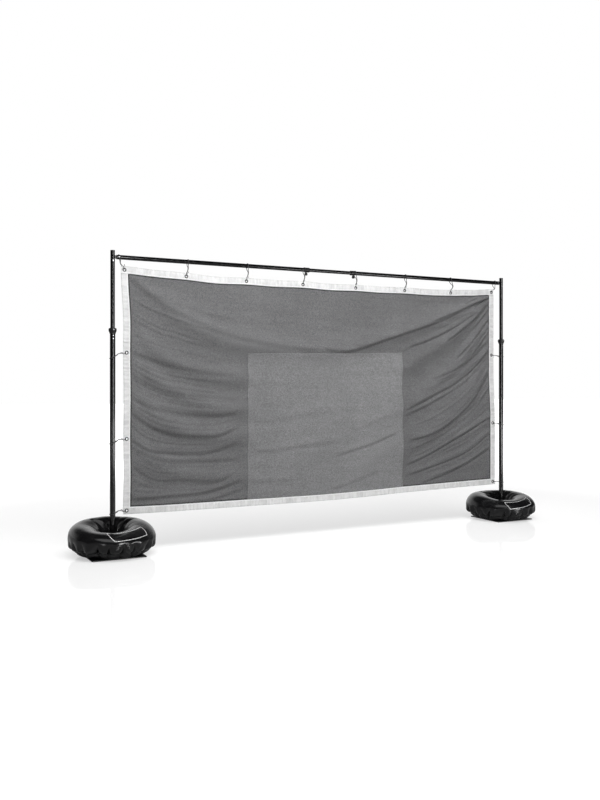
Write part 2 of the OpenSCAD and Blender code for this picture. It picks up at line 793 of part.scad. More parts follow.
module side_ties(side) {
    color("#2c2c2e") for (z = side_grommet_z)
        tie([side * half_span, 0, z - side_tie_fall], [side * corner_x, net_y, z],
            lower_r, [0, 0, 1]);
}

base_plate(-1);  // base_plate_L
base_plate(1);  // base_plate_R
base_pin(-1);  // base_pin_L
base_pin(1);  // base_pin_R
base_bolts();
lower_tube(-1);  // lower_tube_L
lower_tube(1);  // lower_tube_R
collar(-1);  // collar_L
collar(1);  // collar_R
lock_ring(-1);  // lock_ring_L
lock_ring(1);  // lock_ring_R
lock_button(-1);  // lock_button_L
lock_button(1);  // lock_button_R
collar_rivets();
weight_ring(-1);  // weight_ring_L
weight_ring(1);  // weight_ring_R
valve_neck(-1);  // valve_neck_L
valve_neck(1);  // valve_neck_R
valve_cap(-1);  // valve_cap_L
valve_cap(1);  // valve_cap_R
upper_tube(-1);  // upper_tube_L
upper_tube(1);  // upper_tube_R
guide_bush(-1);  // guide_bush_L
guide_bush(1);  // guide_bush_R
seat_pin(-1);  // seat_pin_L
seat_pin(1);  // seat_pin_R
crossbar_tube(-1);  // crossbar_tube_L
crossbar_tube(1);  // crossbar_tube_R
crossbar_centre_tube();
clamp_sleeve(-1);  // clamp_sleeve_L
clamp_sleeve(1);  // clamp_sleeve_R
thumb_screw(-1);  // thumb_screw_L
thumb_screw(1);  // thumb_screw_R
bar_end_plug(-1);  // bar_end_plug_L
bar_end_plug(1);  // bar_end_plug_R
hook_blade(-1);  // hook_blade_L
hook_blade(1);  // hook_blade_R
hook_rivets();
net_mesh();
target_panel();
hem_top();
hem_bottom();
hem_side(-1);  // hem_left
hem_side(1);  // hem_right
top_grommets();
side_grommets();
top_ties();
side_ties(-1);  // side_ties_L
side_ties(1);  // side_ties_R
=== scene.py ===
# Looks of the pitching target net. Metres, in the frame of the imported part:
# origin on the floor midway between the uprights, +X right, +Z up, front is -Y.
import math
import bpy
import numpy as np
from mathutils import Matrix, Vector


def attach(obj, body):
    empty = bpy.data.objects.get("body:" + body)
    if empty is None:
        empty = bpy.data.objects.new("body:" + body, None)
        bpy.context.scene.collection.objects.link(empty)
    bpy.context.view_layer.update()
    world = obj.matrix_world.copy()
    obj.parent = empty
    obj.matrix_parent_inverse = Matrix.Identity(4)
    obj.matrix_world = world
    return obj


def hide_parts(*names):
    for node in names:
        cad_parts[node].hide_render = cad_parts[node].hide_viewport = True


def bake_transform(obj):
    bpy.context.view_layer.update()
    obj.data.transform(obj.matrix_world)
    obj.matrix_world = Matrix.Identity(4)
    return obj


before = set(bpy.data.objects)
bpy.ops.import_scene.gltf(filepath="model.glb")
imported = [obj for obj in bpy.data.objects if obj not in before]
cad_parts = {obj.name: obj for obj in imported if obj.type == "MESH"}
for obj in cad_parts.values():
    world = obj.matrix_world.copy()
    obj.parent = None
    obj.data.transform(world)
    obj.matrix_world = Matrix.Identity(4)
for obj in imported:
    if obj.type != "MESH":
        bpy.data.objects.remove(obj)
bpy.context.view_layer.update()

# ---- sizes, as in part.scad
HALF_SPAN = 1.75
NET_HALF, MESH_HALF = 1.674, 1.624
NET_TOP, MESH_TOP = 2.01, 1.96
NET_BOTTOM, MESH_BOTTOM = 0.293, 0.343
NET_Y = -0.0205
HEM_W, HEM_T = 0.05, 0.003
PANEL_HALF, PANEL_TOP = 0.705, 1.454
PANEL_T, MESH_T = 0.0012, 0.0014
GROMMET_Z = 1.985
CORNER_X, CORNER_Z = 1.649, 0.318
TOP_GROMMETS = [-1.649, -1.2025, -0.7215, -0.2405, 0.2405, 0.7215, 1.2025, 1.649]
SIDE_GROMMETS = [1.412, 0.814, 0.318]
BAR_Z, BAR_R, LOWER_R = 2.088, 0.0159, 0.01905
RING_R, RING_TUBE, RING_Z, RING_FLOOR = 0.3, 0.112, 0.1178, 0.0063
RING_SAG, LOW_TURN = 0.046, -110
CORD_R = 0.002
RNG = np.random.default_rng(7)


# ---- meshes
def mesh_piece(name, points, faces, material, slot=None, smooth=True):
    data = bpy.data.meshes.new(name)
    points = np.asarray(points, float)
    data.from_pydata(points.tolist(), [], [list(map(int, f)) for f in faces])
    data.update()
    if smooth:
        data.polygons.foreach_set("use_smooth", [True] * len(data.polygons))
    piece = bpy.data.objects.new(name, data)
    bpy.context.scene.collection.objects.link(piece)
    data.materials.append(material)
    return piece


def flat_map(piece, flat):
    """Tells the material where each point lies on the flat cloth, in metres."""
    layer = piece.data.uv_layers.new(name="flat")
    corner = np.empty(len(piece.data.loops), int)
    piece.data.loops.foreach_get("vertex_index", corner)
    layer.data.foreach_set("uv", np.asarray(flat, float).reshape(-1, 2)[corner].ravel())


def grid_faces(rows, columns, wrap_rows=False, wrap_columns=False, flip=False):
    """Quads of a rows x columns grid of points, which may close on itself either way."""
    j, i = np.mgrid[:rows if wrap_rows else rows - 1, :columns if wrap_columns else columns - 1]
    low, high, right = j * columns, (j + 1) % rows * columns, (i + 1) % columns
    quads = np.stack([low + i, low + right, high + right, high + i], -1).reshape(-1, 4)
    return quads[:, ::-1] if flip else quads


def unit(v):
    return v / np.maximum(np.linalg.norm(v, axis=-1, keepdims=True), 1e-12)


def tube_mesh(path, radius, sides, closed=True):
    """A round tube along a path, turned as little as possible from one ring of points to the next."""
    ahead = np.roll(path, -1, 0) - np.roll(path, 1, 0)
    if not closed:
        ahead[0], ahead[-1] = path[1] - path[0], path[-1] - path[-2]
    tangent = unit(ahead)
    side = np.zeros_like(path)
    v = np.cross(tangent[0], [0.31, 0.17, 0.93])
    for k in range(len(path)):
        v = v - (v @ tangent[k]) * tangent[k]
        side[k] = v = v / np.linalg.norm(v)
    up = np.cross(tangent, side)
    angles = 2 * np.pi * np.arange(sides)[:, None] / sides
    ring = np.cos(angles) * side[:, None] + np.sin(angles) * up[:, None]
    points = (path[:, None] + radius * ring).reshape(-1, 3)
    faces = [list(f) for f in grid_faces(len(path), sides, closed, True, flip=True)]
    if not closed:
        last = (len(path) - 1) * sides
        faces += [list(range(sides)), list(range(last + sides - 1, last - 1, -1))]
    return points, faces


def joined(parts):
    """Several (points, faces) as one."""
    points, faces, offset = [], [], 0
    for p, f in parts:
        points.append(np.asarray(p, float))
        faces += [[int(i) + offset for i in face] for face in f]
        offset += len(p)
    return np.concatenate(points), faces


def smooth_path(points, step, closed=False):
    """A Catmull-Rom curve through the points, in even steps."""
    p = np.asarray(points, float)
    n = len(p)
    t = np.linspace(0, 1, 17)[:-1, None]
    fine = []
    for k in range(n if closed else n - 1):
        a, b, c, d = (p[(k + j) % n if closed else min(max(k + j, 0), n - 1)] for j in (-1, 0, 1, 2))
        fine.append(0.5 * (2 * b + (c - a) * t + (2 * a - 5 * b + 4 * c - d) * t**2
            + (3 * b - a - 3 * c + d) * t**3))
    fine = np.concatenate([*fine, p[:1] if closed else p[-1:]])
    along = np.concatenate([[0], np.cumsum(np.linalg.norm(np.diff(fine, axis=0), axis=1))])
    at = np.linspace(0, along[-1], max(int(round(along[-1] / step)), 3) + 1)
    even = np.stack([np.interp(at, along, fine[:, k]) for k in range(3)], 1)
    return even[:-1] if closed else even


def rise(t):
    """A smooth step, from 0 at t = 0 to 1 at t = 1."""
    t = np.clip(t, 0, 1)
    return t * t * (3 - 2 * t)


def cos_deg(degrees):
    return np.cos(np.radians(degrees))


def sin_deg(degrees):
    return np.sin(np.radians(degrees))


def bell(off, width, power=2):
    """1 where off is 0, next to nothing beyond twice the width."""
    return np.exp(-(off / width) ** power)


# ---- materials
MOST = (0.3, 0.7)  # nearly all of a noise texture lies between these


class Nodes:
    """A node tree and short ways to add to it. A socket takes a number, a colour or another node's output."""

    def __init__(self, tree):
        self.tree = tree

    def set(self, node, socket, value):
        target = node.inputs[socket]
        if isinstance(value, bpy.types.NodeSocket):
            self.tree.links.new(value, target)
        else:
            target.default_value = (*value, 1) if target.type == "RGBA" else value

    def node(self, kind, inputs=(), **settings):
        node = self.tree.nodes.new(kind)
        for key, value in settings.items():
            setattr(node, key, value)
        for socket, value in dict(inputs).items():
            self.set(node, socket, value)
        return node

    def maths(self, operation, a, b=0, c=0):
        return self.node("ShaderNodeMath", {0: a, 1: b, 2: c}, operation=operation).outputs[0]

    def product(self, first, *others):
        for factor in others:
            first = self.maths("MULTIPLY", first, factor)
        return first

    def ranged(self, value, low, high, to_low, to_high, smooth=False):
        kind = "SMOOTHSTEP" if smooth else "LINEAR"
        return self.node("ShaderNodeMapRange", {"Value": value, 1: low, 2: high, 3: to_low, 4: to_high},
            interpolation_type=kind).outputs[0]

    def split(self, vector):
        return self.node("ShaderNodeSeparateXYZ", {0: vector}).outputs


class Paint(Nodes):
    """A Principled material. Its place is each point's place in the part, its flat that on the flat cloth."""

    def __init__(self, name, **sockets):
        self.material = bpy.data.materials.new(name)
        self.material.use_nodes = True
        super().__init__(self.material.node_tree)
        self.shader = self.tree.nodes["Principled BSDF"]
        for socket, value in sockets.items():
            self.set(self.shader, socket.replace("_", " "), value)
        self.place = self.node("ShaderNodeTexCoord").outputs["Object"]

    def flat(self):
        return self.node("ShaderNodeUVMap", uv_map="flat").outputs[0]

    def scaled(self, scale, source=None):
        return self.node("ShaderNodeMapping", {"Vector": source or self.place, "Scale": scale}).outputs[0]

    def noise(self, scale, detail=3, rough=0.5, vector=None, distort=0):
        return self.node("ShaderNodeTexNoise", {"Vector": vector or self.place, "Scale": scale, "Detail": detail,
            "Roughness": rough, "Distortion": distort}).outputs["Fac"]

    def varied(self, low, high, *noise, among=MOST, smooth=False):
        """Noise whose part among two of its values is spread from low to high."""
        return self.ranged(self.noise(*noise), *among, low, high, smooth)

    def voronoi(self, scale, vector, feature="F1"):
        return self.node("ShaderNodeTexVoronoi", {"Vector": vector, "Scale": scale},
            feature=feature).outputs["Distance"]

    def mix(self, factor, a, b):
        return self.node("ShaderNodeMix", {0: factor, 6: a, 7: b}, data_type="RGBA").outputs[2]

    def tinted(self, colour, level):
        return self.node("ShaderNodeVectorMath", {0: colour, 3: level}, operation="SCALE").outputs[0]

    def bump(self, height, strength, distance, under=None):
        node = self.node("ShaderNodeBump", {"Height": height, "Strength": strength, "Distance": distance})
        if under:
            self.set(node, "Normal", under)
        return node.outputs[0]

    def done(self, colour, rough, normal=None):
        for socket, value in (("Base Color", colour), ("Roughness", rough), ("Normal", normal)):
            if value is not None:
                self.set(self.shader, socket, value)
        return self.material


def shade(colour, factor):
    return tuple(c * factor for c in colour)


def coated_metal(name, colour, rough, worn, along):
    """Black enamel over steel: orange peel, soft clouds, fine scratches along one axis, a few chips."""
    p = Paint(name, Specular_IOR_Level=0.34)
    stretch = [260] * 3
    stretch[along] = 9
    scratches = p.noise(1, 4, 0.65, p.scaled(tuple(stretch)))
    scratch = p.ranged(scratches, 0.66, 0.74, 0, 1, True)
    chips = p.varied(0, 1, 95, 5, 0.6, among=(0.71, 0.75), smooth=True)
    base = p.mix(p.varied(0, 1, 6, 4, 0.6), shade(colour, 0.8), shade(colour, 1.25))
    base = p.mix(p.product(scratch, 0.5), base, shade(worn, 0.45))
    base = p.mix(p.product(chips, 0.7), base, worn)
    roughness = p.maths("ADD", p.varied(rough - 0.06, rough + 0.08, 40, 4), p.product(scratch, 0.18))
    peel = p.bump(p.noise(420, 2), 0.1, 0.0006)
    return p.done(base, roughness, p.bump(scratches, 0.06, 0.0004, peel))


def moulded_plastic(name, colour, rough, grain=900, strength=0.25):
    """Plastic from a mould: a fine grain and pale scuffs."""
    p = Paint(name, Specular_IOR_Level=0.3)
    base = p.mix(p.varied(0, 1, 30, 4), shade(colour, 0.85), shade(colour, 1.2))
    scuff = p.varied(0, 0.35, 1, 5, 0.7, p.scaled((60, 300, 120)), among=(0.64, 0.74), smooth=True)
    return p.done(p.mix(scuff, base, shade(colour, 3.2)), p.varied(rough - 0.05, rough + 0.07, 120),
        p.bump(p.noise(grain, 3, 0.6), strength, 0.0003))


def bare_metal(name, colour, rough, metallic=1):
    """Plated or bare metal with fine lines and dull spots."""
    p = Paint(name, Metallic=metallic)
    lines = p.noise(1, 5, 0.6, p.scaled((1400, 1400, 90)))
    spots = p.varied(0, 0.5, 240, 4, among=(0.52, 0.72), smooth=True)
    return p.done(p.mix(spots, colour, shade(colour, 0.55)), p.ranged(lines, *MOST, rough - 0.08, rough + 0.12),
        p.bump(lines, 0.12, 0.0002))


def knitted_mesh(name, thread, hole, pitch, streak, seam_shadow=None, fade=0):
    """Bars of thread round small dark holes, with cloudy dye, faint horizontal streaks, and painted shade that
    darkens it towards its foot. Beyond the seam limits (low x, high x, low z, high z) a band of painted shadow lies
    along the hems; fade is how much paler it gets to the right."""
    p = Paint(name, Specular_IOR_Level=0.25, Sheen_Weight=0.12, Sheen_Roughness=0.45)
    place, wobble = p.split(p.place), p.product(p.noise(70, 2), 0.0016)
    bars = [p.maths("SINE", p.product(p.maths("ADD", place[axis], wobble), math.pi / pitch)) for axis in (0, 2)]
    cell = p.product(*[p.maths("ABSOLUTE", bar) for bar in bars])
    cloud = p.varied(0.9, 1.1, 2.2, 5, 0.62)
    bands = p.varied(1 - streak, 1 + streak, 1, 4, 0.6, p.scaled((1.2, 1, 58)))
    grain = p.varied(0.8, 1.2, 330, 2, 0.7, among=(0.25, 0.75))
    slubs = p.varied(1 - SLUB, 1 + SLUB, 1, 3, 0.7, p.scaled((110, 60, 140)))
    flat = p.split(p.flat())
    # painted shade: the cloth is darker towards its foot and a little lighter at its top, as the light falls off
    # downward
    painted_foot_shade = p.ranged(flat[1], MESH_BOTTOM, MESH_TOP, 1 - FOOT_SHADE, 1 + FOOT_SHADE / 2)
    pale = p.ranged(flat[0], -PANEL_HALF, PANEL_HALF, 1 - fade, 1 + fade)
    light = p.product(cloud, bands, grain, slubs, painted_foot_shade, pale)
    # painted shadow: a dark band along the mesh's edges, inside the hems
    if seam_shadow:
        beyond = [p.maths(test, flat[axis], limit) for test, axis, limit in
            zip(("LESS_THAN", "GREATER_THAN") * 2, (0, 0, 1, 1), seam_shadow)]
        in_seam_shadow = p.maths("MAXIMUM", p.maths("MAXIMUM", *beyond[:2]), p.maths("MAXIMUM", *beyond[2:]))
        light = p.product(light, p.maths("SUBTRACT", 1, p.product(in_seam_shadow, SEAM_SHADOW_DARK)))
    base = p.mix(p.ranged(cell, 0.55, 0.75, 1, 0, True), hole, p.tinted(thread, light))
    weave = p.bump(cell, 0.35, -0.0008)
    return p.done(base, p.varied(0.78, 0.95, 90), p.bump(p.noise(26, 4, 0.6), 0.1, 0.004, weave))


def webbing(name, colour, rib):
    """White woven webbing: fine ribs, painted shade of the wrinkles across it and along its outer edge, some dirt,
    and a raised cord at its inner edge painted whiter as a highlight.
    """
    p = Paint(name, Specular_IOR_Level=0.3, Sheen_Weight=0.15, Sheen_Roughness=0.4)
    place, flat = p.split(p.place), p.flat()
    weave = p.product(*[p.maths("SINE", p.product(place[axis], math.pi / rib)) for axis in (0, 2)])
    shadow = p.ranged(weave, -1, 1, 0.92, 1.04)
    dirt = p.varied(1, 0.88, 9, 6, 0.65, among=(0.45, 0.8))
    # painted shade of the wrinkles across the hem: grey streaks across it
    wrinkle_shade = p.varied(0.86, 1.04, 1, 4, 0.6, p.scaled((34, 9, 1), flat), 0.6, among=(0.36, 0.62))
    width = p.split(flat)[1]
    # the raised cord at the inner edge is painted whiter: a painted highlight along it
    cord = p.ranged(width, STRIPE_AT - 0.0008, STRIPE_AT + 0.0004, 0, 1, True)
    # painted shade: the hem's rounded outer edge is darker
    edge = p.ranged(width, 0.0016, 0.003, 0.8, 1, True)
    light = p.product(p.product(shadow, dirt), p.product(wrinkle_shade, edge))
    return p.done(p.mix(cord, p.tinted(colour, light), (0.9, 0.9, 0.9)), p.varied(0.62, 0.82, 60),
        p.bump(weave, 0.3, 0.0004, p.bump(p.noise(55, 4), 0.18, 0.0016)))


def vinyl(name, colour):
    """Glossy black vinyl with a fine embossed grain, small stretch ripples and a trace of dust."""
    p = Paint(name, Specular_IOR_Level=0.26, Coat_Weight=0.1, Coat_Roughness=0.06)
    dust = p.varied(0, 0.5, 14, 6, 0.7, among=(0.48, 0.75), smooth=True)
    grain = p.ranged(p.voronoi(620, p.place, "DISTANCE_TO_EDGE"), 0, 0.08, 0, 1)
    return p.done(p.mix(dust, colour, shade(colour, 2.6)), p.varied(0.17, 0.27, 22, 5, 0.6),
        p.bump(p.noise(34, 3, 0.5, None, 0.6), 0.1, 0.002, p.bump(grain, 0.1, 0.0002)))


def braided_cord(name, colour):
    """Elastic cord in a braided sleeve."""
    p = Paint(name, Specular_IOR_Level=0.35, Sheen_Weight=0.2, Sheen_Roughness=0.4)
    cell = p.voronoi(900, p.scaled((1, 1, 0.62)))
    base = p.mix(p.ranged(cell, 0.1, 0.7, 0, 1), shade(colour, 1.5), shade(colour, 0.45))
    fleck = p.varied(0, 0.6, 700, 2, among=(0.62, 0.68), smooth=True)
    return p.done(p.mix(fleck, base, shade(colour, 3)), p.ranged(cell, 0, 0.8, 0.5, 0.8),
        p.bump(cell, 0.5, -0.0006))


def printed(name, colour):
    """Print on vinyl, worn thin in places."""
    p = Paint(name, Specular_IOR_Level=0.4, Coat_Weight=0.2, Coat_Roughness=0.2)
    worn = p.varied(1, 0.55, 160, 5, 0.7, among=(0.5, 0.8))
    return p.done(p.tinted(colour, worn), p.varied(0.35, 0.5, 80), p.bump(p.noise(500), 0.1, 0.0002))


STRIPE_AT = 0.041  # the hem's raised cord, painted whiter as a highlight, starts this far from its outer edge
SLUB = 0.36  # how much lighter or darker single threads are
FOOT_SHADE = 0.1  # how much darker the net is painted at its foot: painted shade of the light falling off downward
SEAM_SHADOW_W, SEAM_SHADOW_DARK = 0.009, 0.78  # the painted shadow band along the hems: its width and how much it darkens the mesh
NET_SEAM_SHADOW = (-MESH_HALF + SEAM_SHADOW_W, MESH_HALF - SEAM_SHADOW_W, MESH_BOTTOM + SEAM_SHADOW_W, MESH_TOP - SEAM_SHADOW_W)
ENAMEL, ENAMEL_WORN = (0.003, 0.003, 0.0033), (0.1, 0.12, 0.125)
M = {
    "tube_up": coated_metal("enamel_upright", ENAMEL, 0.14, ENAMEL_WORN, 2),
    "tube_bar": coated_metal("enamel_crossbar", ENAMEL, 0.14, ENAMEL_WORN, 0),
    "plate": coated_metal("enamel_plate", (0.01, 0.01, 0.011), 0.4, (0.14, 0.14, 0.145), 1),
    "clamp": moulded_plastic("nylon_clamp", (0.007, 0.007, 0.008), 0.42),
    "bush": moulded_plastic("nylon_bush", (0.03, 0.03, 0.033), 0.5),
    "hook": bare_metal("black_zinc", (0.022, 0.022, 0.024), 0.4, 0.3),
    "steel": bare_metal("bright_zinc", (0.44, 0.44, 0.46), 0.38),
    "brass": bare_metal("plain_brass", (0.62, 0.48, 0.24), 0.3),
    "grommet": bare_metal("dark_nickel", (0.014, 0.014, 0.015), 0.36, 0.25),
    "vinyl": vinyl("ring_vinyl_black", (0.006, 0.006, 0.0065)),
    "valve": moulded_plastic("valve_vinyl_black", (0.014, 0.014, 0.015), 0.38, 700, 0.2),
    "mesh": knitted_mesh("net_mesh_black", (0.187, 0.187, 0.19), (0.045, 0.045, 0.047), 0.0034, 0.06, NET_SEAM_SHADOW),
    "panel": knitted_mesh("panel_mesh_grey", (0.272, 0.272, 0.276), (0.09, 0.09, 0.093), 0.0042, 0.05, fade=0.07),
    "hem": webbing("hem_webbing_white", (0.83, 0.83, 0.83), 0.0016),
    "cord": braided_cord("tie_cord_black", (0.045, 0.045, 0.048)),
    "thread_white": braided_cord("thread_white", (0.62, 0.62, 0.62)),
    "thread_grey": braided_cord("thread_grey", (0.16, 0.16, 0.165)),
    "print": printed("ring_print_white", (0.8, 0.8, 0.8)),
}

CAD_LOOKS = {
    "tube_up": ["base_pin", "lower_tube", "upper_tube"], "tube_bar": ["crossbar_tube"],
    "plate": ["base_plate"], "clamp": ["collar", "clamp_sleeve", "thumb_screw", "bar_end_plug"],
    "bush": ["guide_bush"], "hook": ["hook_blade"], "steel": ["seat_pin", "lock_button"],
    "brass": ["lock_ring"], "valve": ["valve_neck", "valve_cap"],
}
node_look = {f"{stem}_{side}": look for look, stems in CAD_LOOKS.items() for stem in stems for side in "LR"}
node_look |= {"crossbar_centre_tube": "tube_bar", "base_bolts": "steel", "collar_rivets": "steel",
    "hook_rivets": "steel"}
for node, look in node_look.items():
    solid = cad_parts[node]
    solid.data.materials.clear()
    solid.data.materials.append(M[look])


# ---- how the cloth hangs
FOLDS = [  # low x, low z, high x, high z, how late it rises, depth, half width: the folds of part.scad
    (0, 1.49, -MESH_HALF, MESH_TOP, 3.2, 0.03, 0.09),
    (0, 1.49, MESH_HALF, MESH_TOP, 1.3, 0.03, 0.09),
    (-PANEL_HALF, 1.27, -MESH_HALF, 1.56, 2.6, 0.026, 0.07),
    (-PANEL_HALF, 1.04, -MESH_HALF, 1.38, 2.4, 0.022, 0.07),
    (-PANEL_HALF, 0.83, -MESH_HALF, 1.13, 3, 0.026, 0.07),
    (-PANEL_HALF, 0.52, -MESH_HALF, 0.7, 2, 0.02, 0.07),
    (PANEL_HALF, 1.33, MESH_HALF, 1.9, 1.2, 0.024, 0.08),
    (PANEL_HALF, 1.01, MESH_HALF, 1.7, 1.3, 0.024, 0.08),
    (PANEL_HALF, 0.64, MESH_HALF, 1.33, 1.3, 0.02, 0.08),
    (0.26, 0.52, 1.2, 1, 1, 0.012, 0.08),
]
# Creases on the folds, all in mm: depth, width above and below, then x and z of the points along it
CREASES = [
    (5, 40, 20, -1625, 1955, -1415, 1805, -1150, 1695, -915, 1620, -625, 1560, -325, 1515, 35, 1472),
    (3, 40, 20, -1625, 1955, -1470, 1860, -1285, 1800, -1080, 1755, -800, 1720),
    (11, 36, 11, 35, 1472, 200, 1486, 490, 1560, 765, 1640, 1005, 1720, 1300, 1840, 1625, 1955),
    (6, 26, 12, -60, 1496, 100, 1478, 260, 1482),
    (9, 30, 11, 715, 1492, 1000, 1585, 1275, 1720, 1625, 1920),
    (8, 20, 9, 950, 1722, 1220, 1822, 1415, 1888, 1625, 1948),
    (10, 24, 10, 1135, 1565, 1355, 1700, 1625, 1900),
    (10, 26, 10, 1245, 1415, 1410, 1550, 1625, 1755),
    (8, 20, 9, 1410, 1435, 1520, 1530, 1625, 1640),
    (7, 28, 12, 1000, 1240, 1245, 1330, 1440, 1430, 1625, 1560),
    (6, 50, 20, -1625, 1440, -1430, 1375, -1150, 1330, -730, 1305),
    (5, 46, 20, -1625, 1295, -1485, 1205, -1245, 1150, -995, 1138, -740, 1125),
    (7, 44, 17, -1625, 1120, -1485, 1062, -1150, 1005, -895, 1005, -730, 1035),
    (9, 44, 16, -1625, 1020, -1485, 920, -1340, 865, -1150, 845, -955, 850, -830, 892, -730, 930),
    (7, 34, 15, -1620, 835, -1505, 757, -1340, 735, -950, 740, -730, 805),
    (7, 32, 15, -1600, 755, -1430, 685, -1050, 660, -730, 665),
    (6, 38, 17, -1610, 645, -1485, 555, -1225, 530, -910, 530, -730, 615),
    (8, 34, 15, -1595, 405, -1340, 415, -1050, 430, -890, 465, -730, 520),
    (6, 26, 14, -1150, 350, -990, 375, -730, 440),
    (9, 34, 12, 700, 985, 975, 1090, 1215, 1195, 1410, 1305, 1625, 1460),
    (5, 28, 14, 700, 945, 1000, 1045, 1245, 1175),
    (12, 36, 11, 715, 735, 1000, 790, 1270, 930, 1465, 1085, 1625, 1285),
    (11, 32, 11, 715, 525, 975, 615, 1245, 735, 1625, 880),
    (9, 28, 11, 715, 440, 1080, 525, 1410, 630, 1625, 745),
    (9, 28, 11, 870, 365, 1215, 455, 1620, 610),
    (3, 50, 26, -710, 945, -500, 950, -240, 995, 130, 1030),
    (4, 44, 20, -710, 720, -435, 725, -105, 765, 150, 775),
    (6, 40, 13, 55, 650, 150, 675, 415, 737, 690, 830),
    (3, 40, 20, 200, 845, 415, 910, 665, 985),
    (4, 34, 18, -10, 390, 125, 415, 365, 480, 515, 515),
    (3, 36, 20, -710, 500, -500, 487, -325, 490),
    (6, 13, 7, 1330, 1885, 1400, 1915, 1500, 1950),
    (7, 14, 7, 1400, 1830, 1510, 1900, 1625, 1958),
    (7, 14, 7, 1470, 1700, 1550, 1772, 1625, 1850),
    (6, 13, 7, 1520, 1800, 1575, 1850, 1625, 1905),
    (7, 14, 7, 1500, 1560, 1570, 1625, 1625, 1690),
    (6, 14, 7, 1480, 1350, 1560, 1420, 1625, 1482),
    (6, 14, 7, 1500, 1180, 1570, 1250, 1625, 1320),
    (6, 13, 7, 1520, 1040, 1580, 1100, 1625, 1150),
    (5, 13, 7, 1530, 800, 1580, 850, 1625, 905),
]
CREASES = [(list(zip(c[3::2], c[4::2])), *c[:3]) for c in CREASES]
CREASE_DEPTH, CREASE_END = 1.2, 0.16  # factor on the depths, share of a crease over which its end fades
HEM_HOLDS = 1500  # mm, a crease that reaches further out ends at the hem


def spline_at(points, x):
    """z and slope of a smooth curve through the points (x rising) at each x."""
    px, pz = np.array(points, float).T
    slopes = np.gradient(pz, px)
    k = np.clip(np.searchsorted(px, x) - 1, 0, len(px) - 2)
    h = px[k + 1] - px[k]
    t = np.clip((x - px[k]) / h, 0, 1)
    z = ((2 * t**3 - 3 * t**2 + 1) * pz[k] + (t**3 - 2 * t**2 + t) * h * slopes[k]
        + (3 * t**2 - 2 * t**3) * pz[k + 1] + (t**3 - t**2) * h * slopes[k + 1])
    slope = ((6 * t**2 - 6 * t) * (pz[k] - pz[k + 1]) / h + (3 * t**2 - 4 * t + 1) * slopes[k]
        + (3 * t**2 - 2 * t) * slopes[k + 1])
    return z, slope


def inside_mesh(x, z, fade, beyond=0):
    """1 well inside the mesh, 0 at its edges or a little beyond them."""
    return rise((MESH_HALF + beyond - abs(x)) / fade) * rise((z - MESH_BOTTOM + beyond) / fade) \
        * rise((MESH_TOP + beyond - z) / fade)


def main_folds(x, z):
    total = np.zeros_like(x)
    for x0, z0, x1, z1, late, depth, width in FOLDS:
        u = (x - x0) / (x1 - x0)
        crest = z0 + (z1 - z0) * np.clip(u, 0, 1) ** late
        total += depth * rise(4 * u + 0.6) * rise(4 * (1.05 - u)) * bell(z - crest, width)
    return total * inside_mesh(x, z, 0.15)


def creases(x, z):
    """Each crease is a rounded fold with a shallow hollow below it, and fades at its ends unless a hem holds it."""
    total = np.zeros_like(x)
    for points, depth, above, below in CREASES:
        crest, slope = spline_at(points, x * 1000)
        off = (z * 1000 - crest) / np.sqrt(1 + slope**2)
        first, last = points[0][0], points[-1][0]
        reach = CREASE_END * (last - first)
        ends = rise((x * 1000 - first) / reach + (0.5 if abs(first) > HEM_HOLDS else 0))
        ends = ends * rise((last - x * 1000) / reach + (0.5 if abs(last) > HEM_HOLDS else 0))
        profile = bell(off, np.where(off > 0, above, below)) - 0.45 * bell(off + 2.1 * below, below)
        total += CREASE_DEPTH * depth / 1000 * ends * profile
    return total * inside_mesh(x, z, 0.035, 0.006)


def fine_creases():
    """Narrow creases between neighbours of the list above, which are named from top to bottom."""
    left, right = [1, 10, 11, 12, 13, 14, 15, 16, 17], [5, 4, 6, 7, 9, 19, 21, 22, 23, 24]
    rng = np.random.default_rng(21)
    for run, fullness in ((left, 1), (right, 1.7)):
        for upper, lower in zip(run, run[1:]):
            a, b = CREASES[upper][0], CREASES[lower][0]
            first, last = max(a[0][0], b[0][0]), min(a[-1][0], b[-1][0])
            for share in (0.24, 0.42, 0.6, 0.8):
                share += rng.uniform(-0.07, 0.07)
                start = first + rng.uniform(0, 0.35) * (last - first) * (run is right)
                stop = last - rng.uniform(0, 0.35) * (last - first) * (run is left)
                at = np.linspace(start, stop, 6)
                z = (1 - share) * spline_at(a, at)[0] + share * spline_at(b, at)[0] + rng.uniform(-5, 5, 6)
                yield list(zip(at, z)), rng.uniform(0.8, 2.4) * fullness, rng.uniform(10, 19), rng.uniform(7, 10)


CREASES += list(fine_creases())
# Size, turns per metre across and up, and start of each slack wave
WAVES = [(RNG.uniform(0.8, 1.6), RNG.uniform(-9, 9), RNG.uniform(28, 95), RNG.uniform(0, 6.28)) for _ in range(14)]


def ripples(x, z):
    """Small slack waves, about a millimetre deep."""
    total = np.zeros_like(x)
    for size, kx, kz, start in WAVES:
        total += size * 0.00022 * np.sin(kx * x + kz * z + start + 1.4 * np.sin(3.1 * x + kz * 0.07))
    calm = 1 - 0.55 * rise((PANEL_HALF + 0.05 - abs(x)) / 0.1) * rise((PANEL_TOP + 0.05 - z) / 0.1)
    return total * calm * inside_mesh(x, z, 0.06)


def between(at, stops, depth):
    """Nothing at the stops, depth midway between two."""
    at = np.asarray(at, float)
    total = np.zeros_like(at)
    for ends in zip(stops, stops[1:]):
        a, b = sorted(ends)
        total += depth * np.sin(np.pi * np.clip((at - a) / (b - a), 0, 1)) ** 2
    return total


SIDE_STOPS = SIDE_GROMMETS[::-1] + [GROMMET_Z]
WAVE_TOP = [0.0022, 0.0034, 0.0026, 0.0038, 0.0024, 0.0036, 0.0028]
WAVE_SIDE = [0.003, 0.0034, 0.0026]
WAVE_LOW, NEAR_HEM = 0.003, 0.1


def across_net(x):
    """0 at the left corner grommet to 1 at the right one."""
    return np.clip((x + CORNER_X) / (2 * CORNER_X), 0, 1)


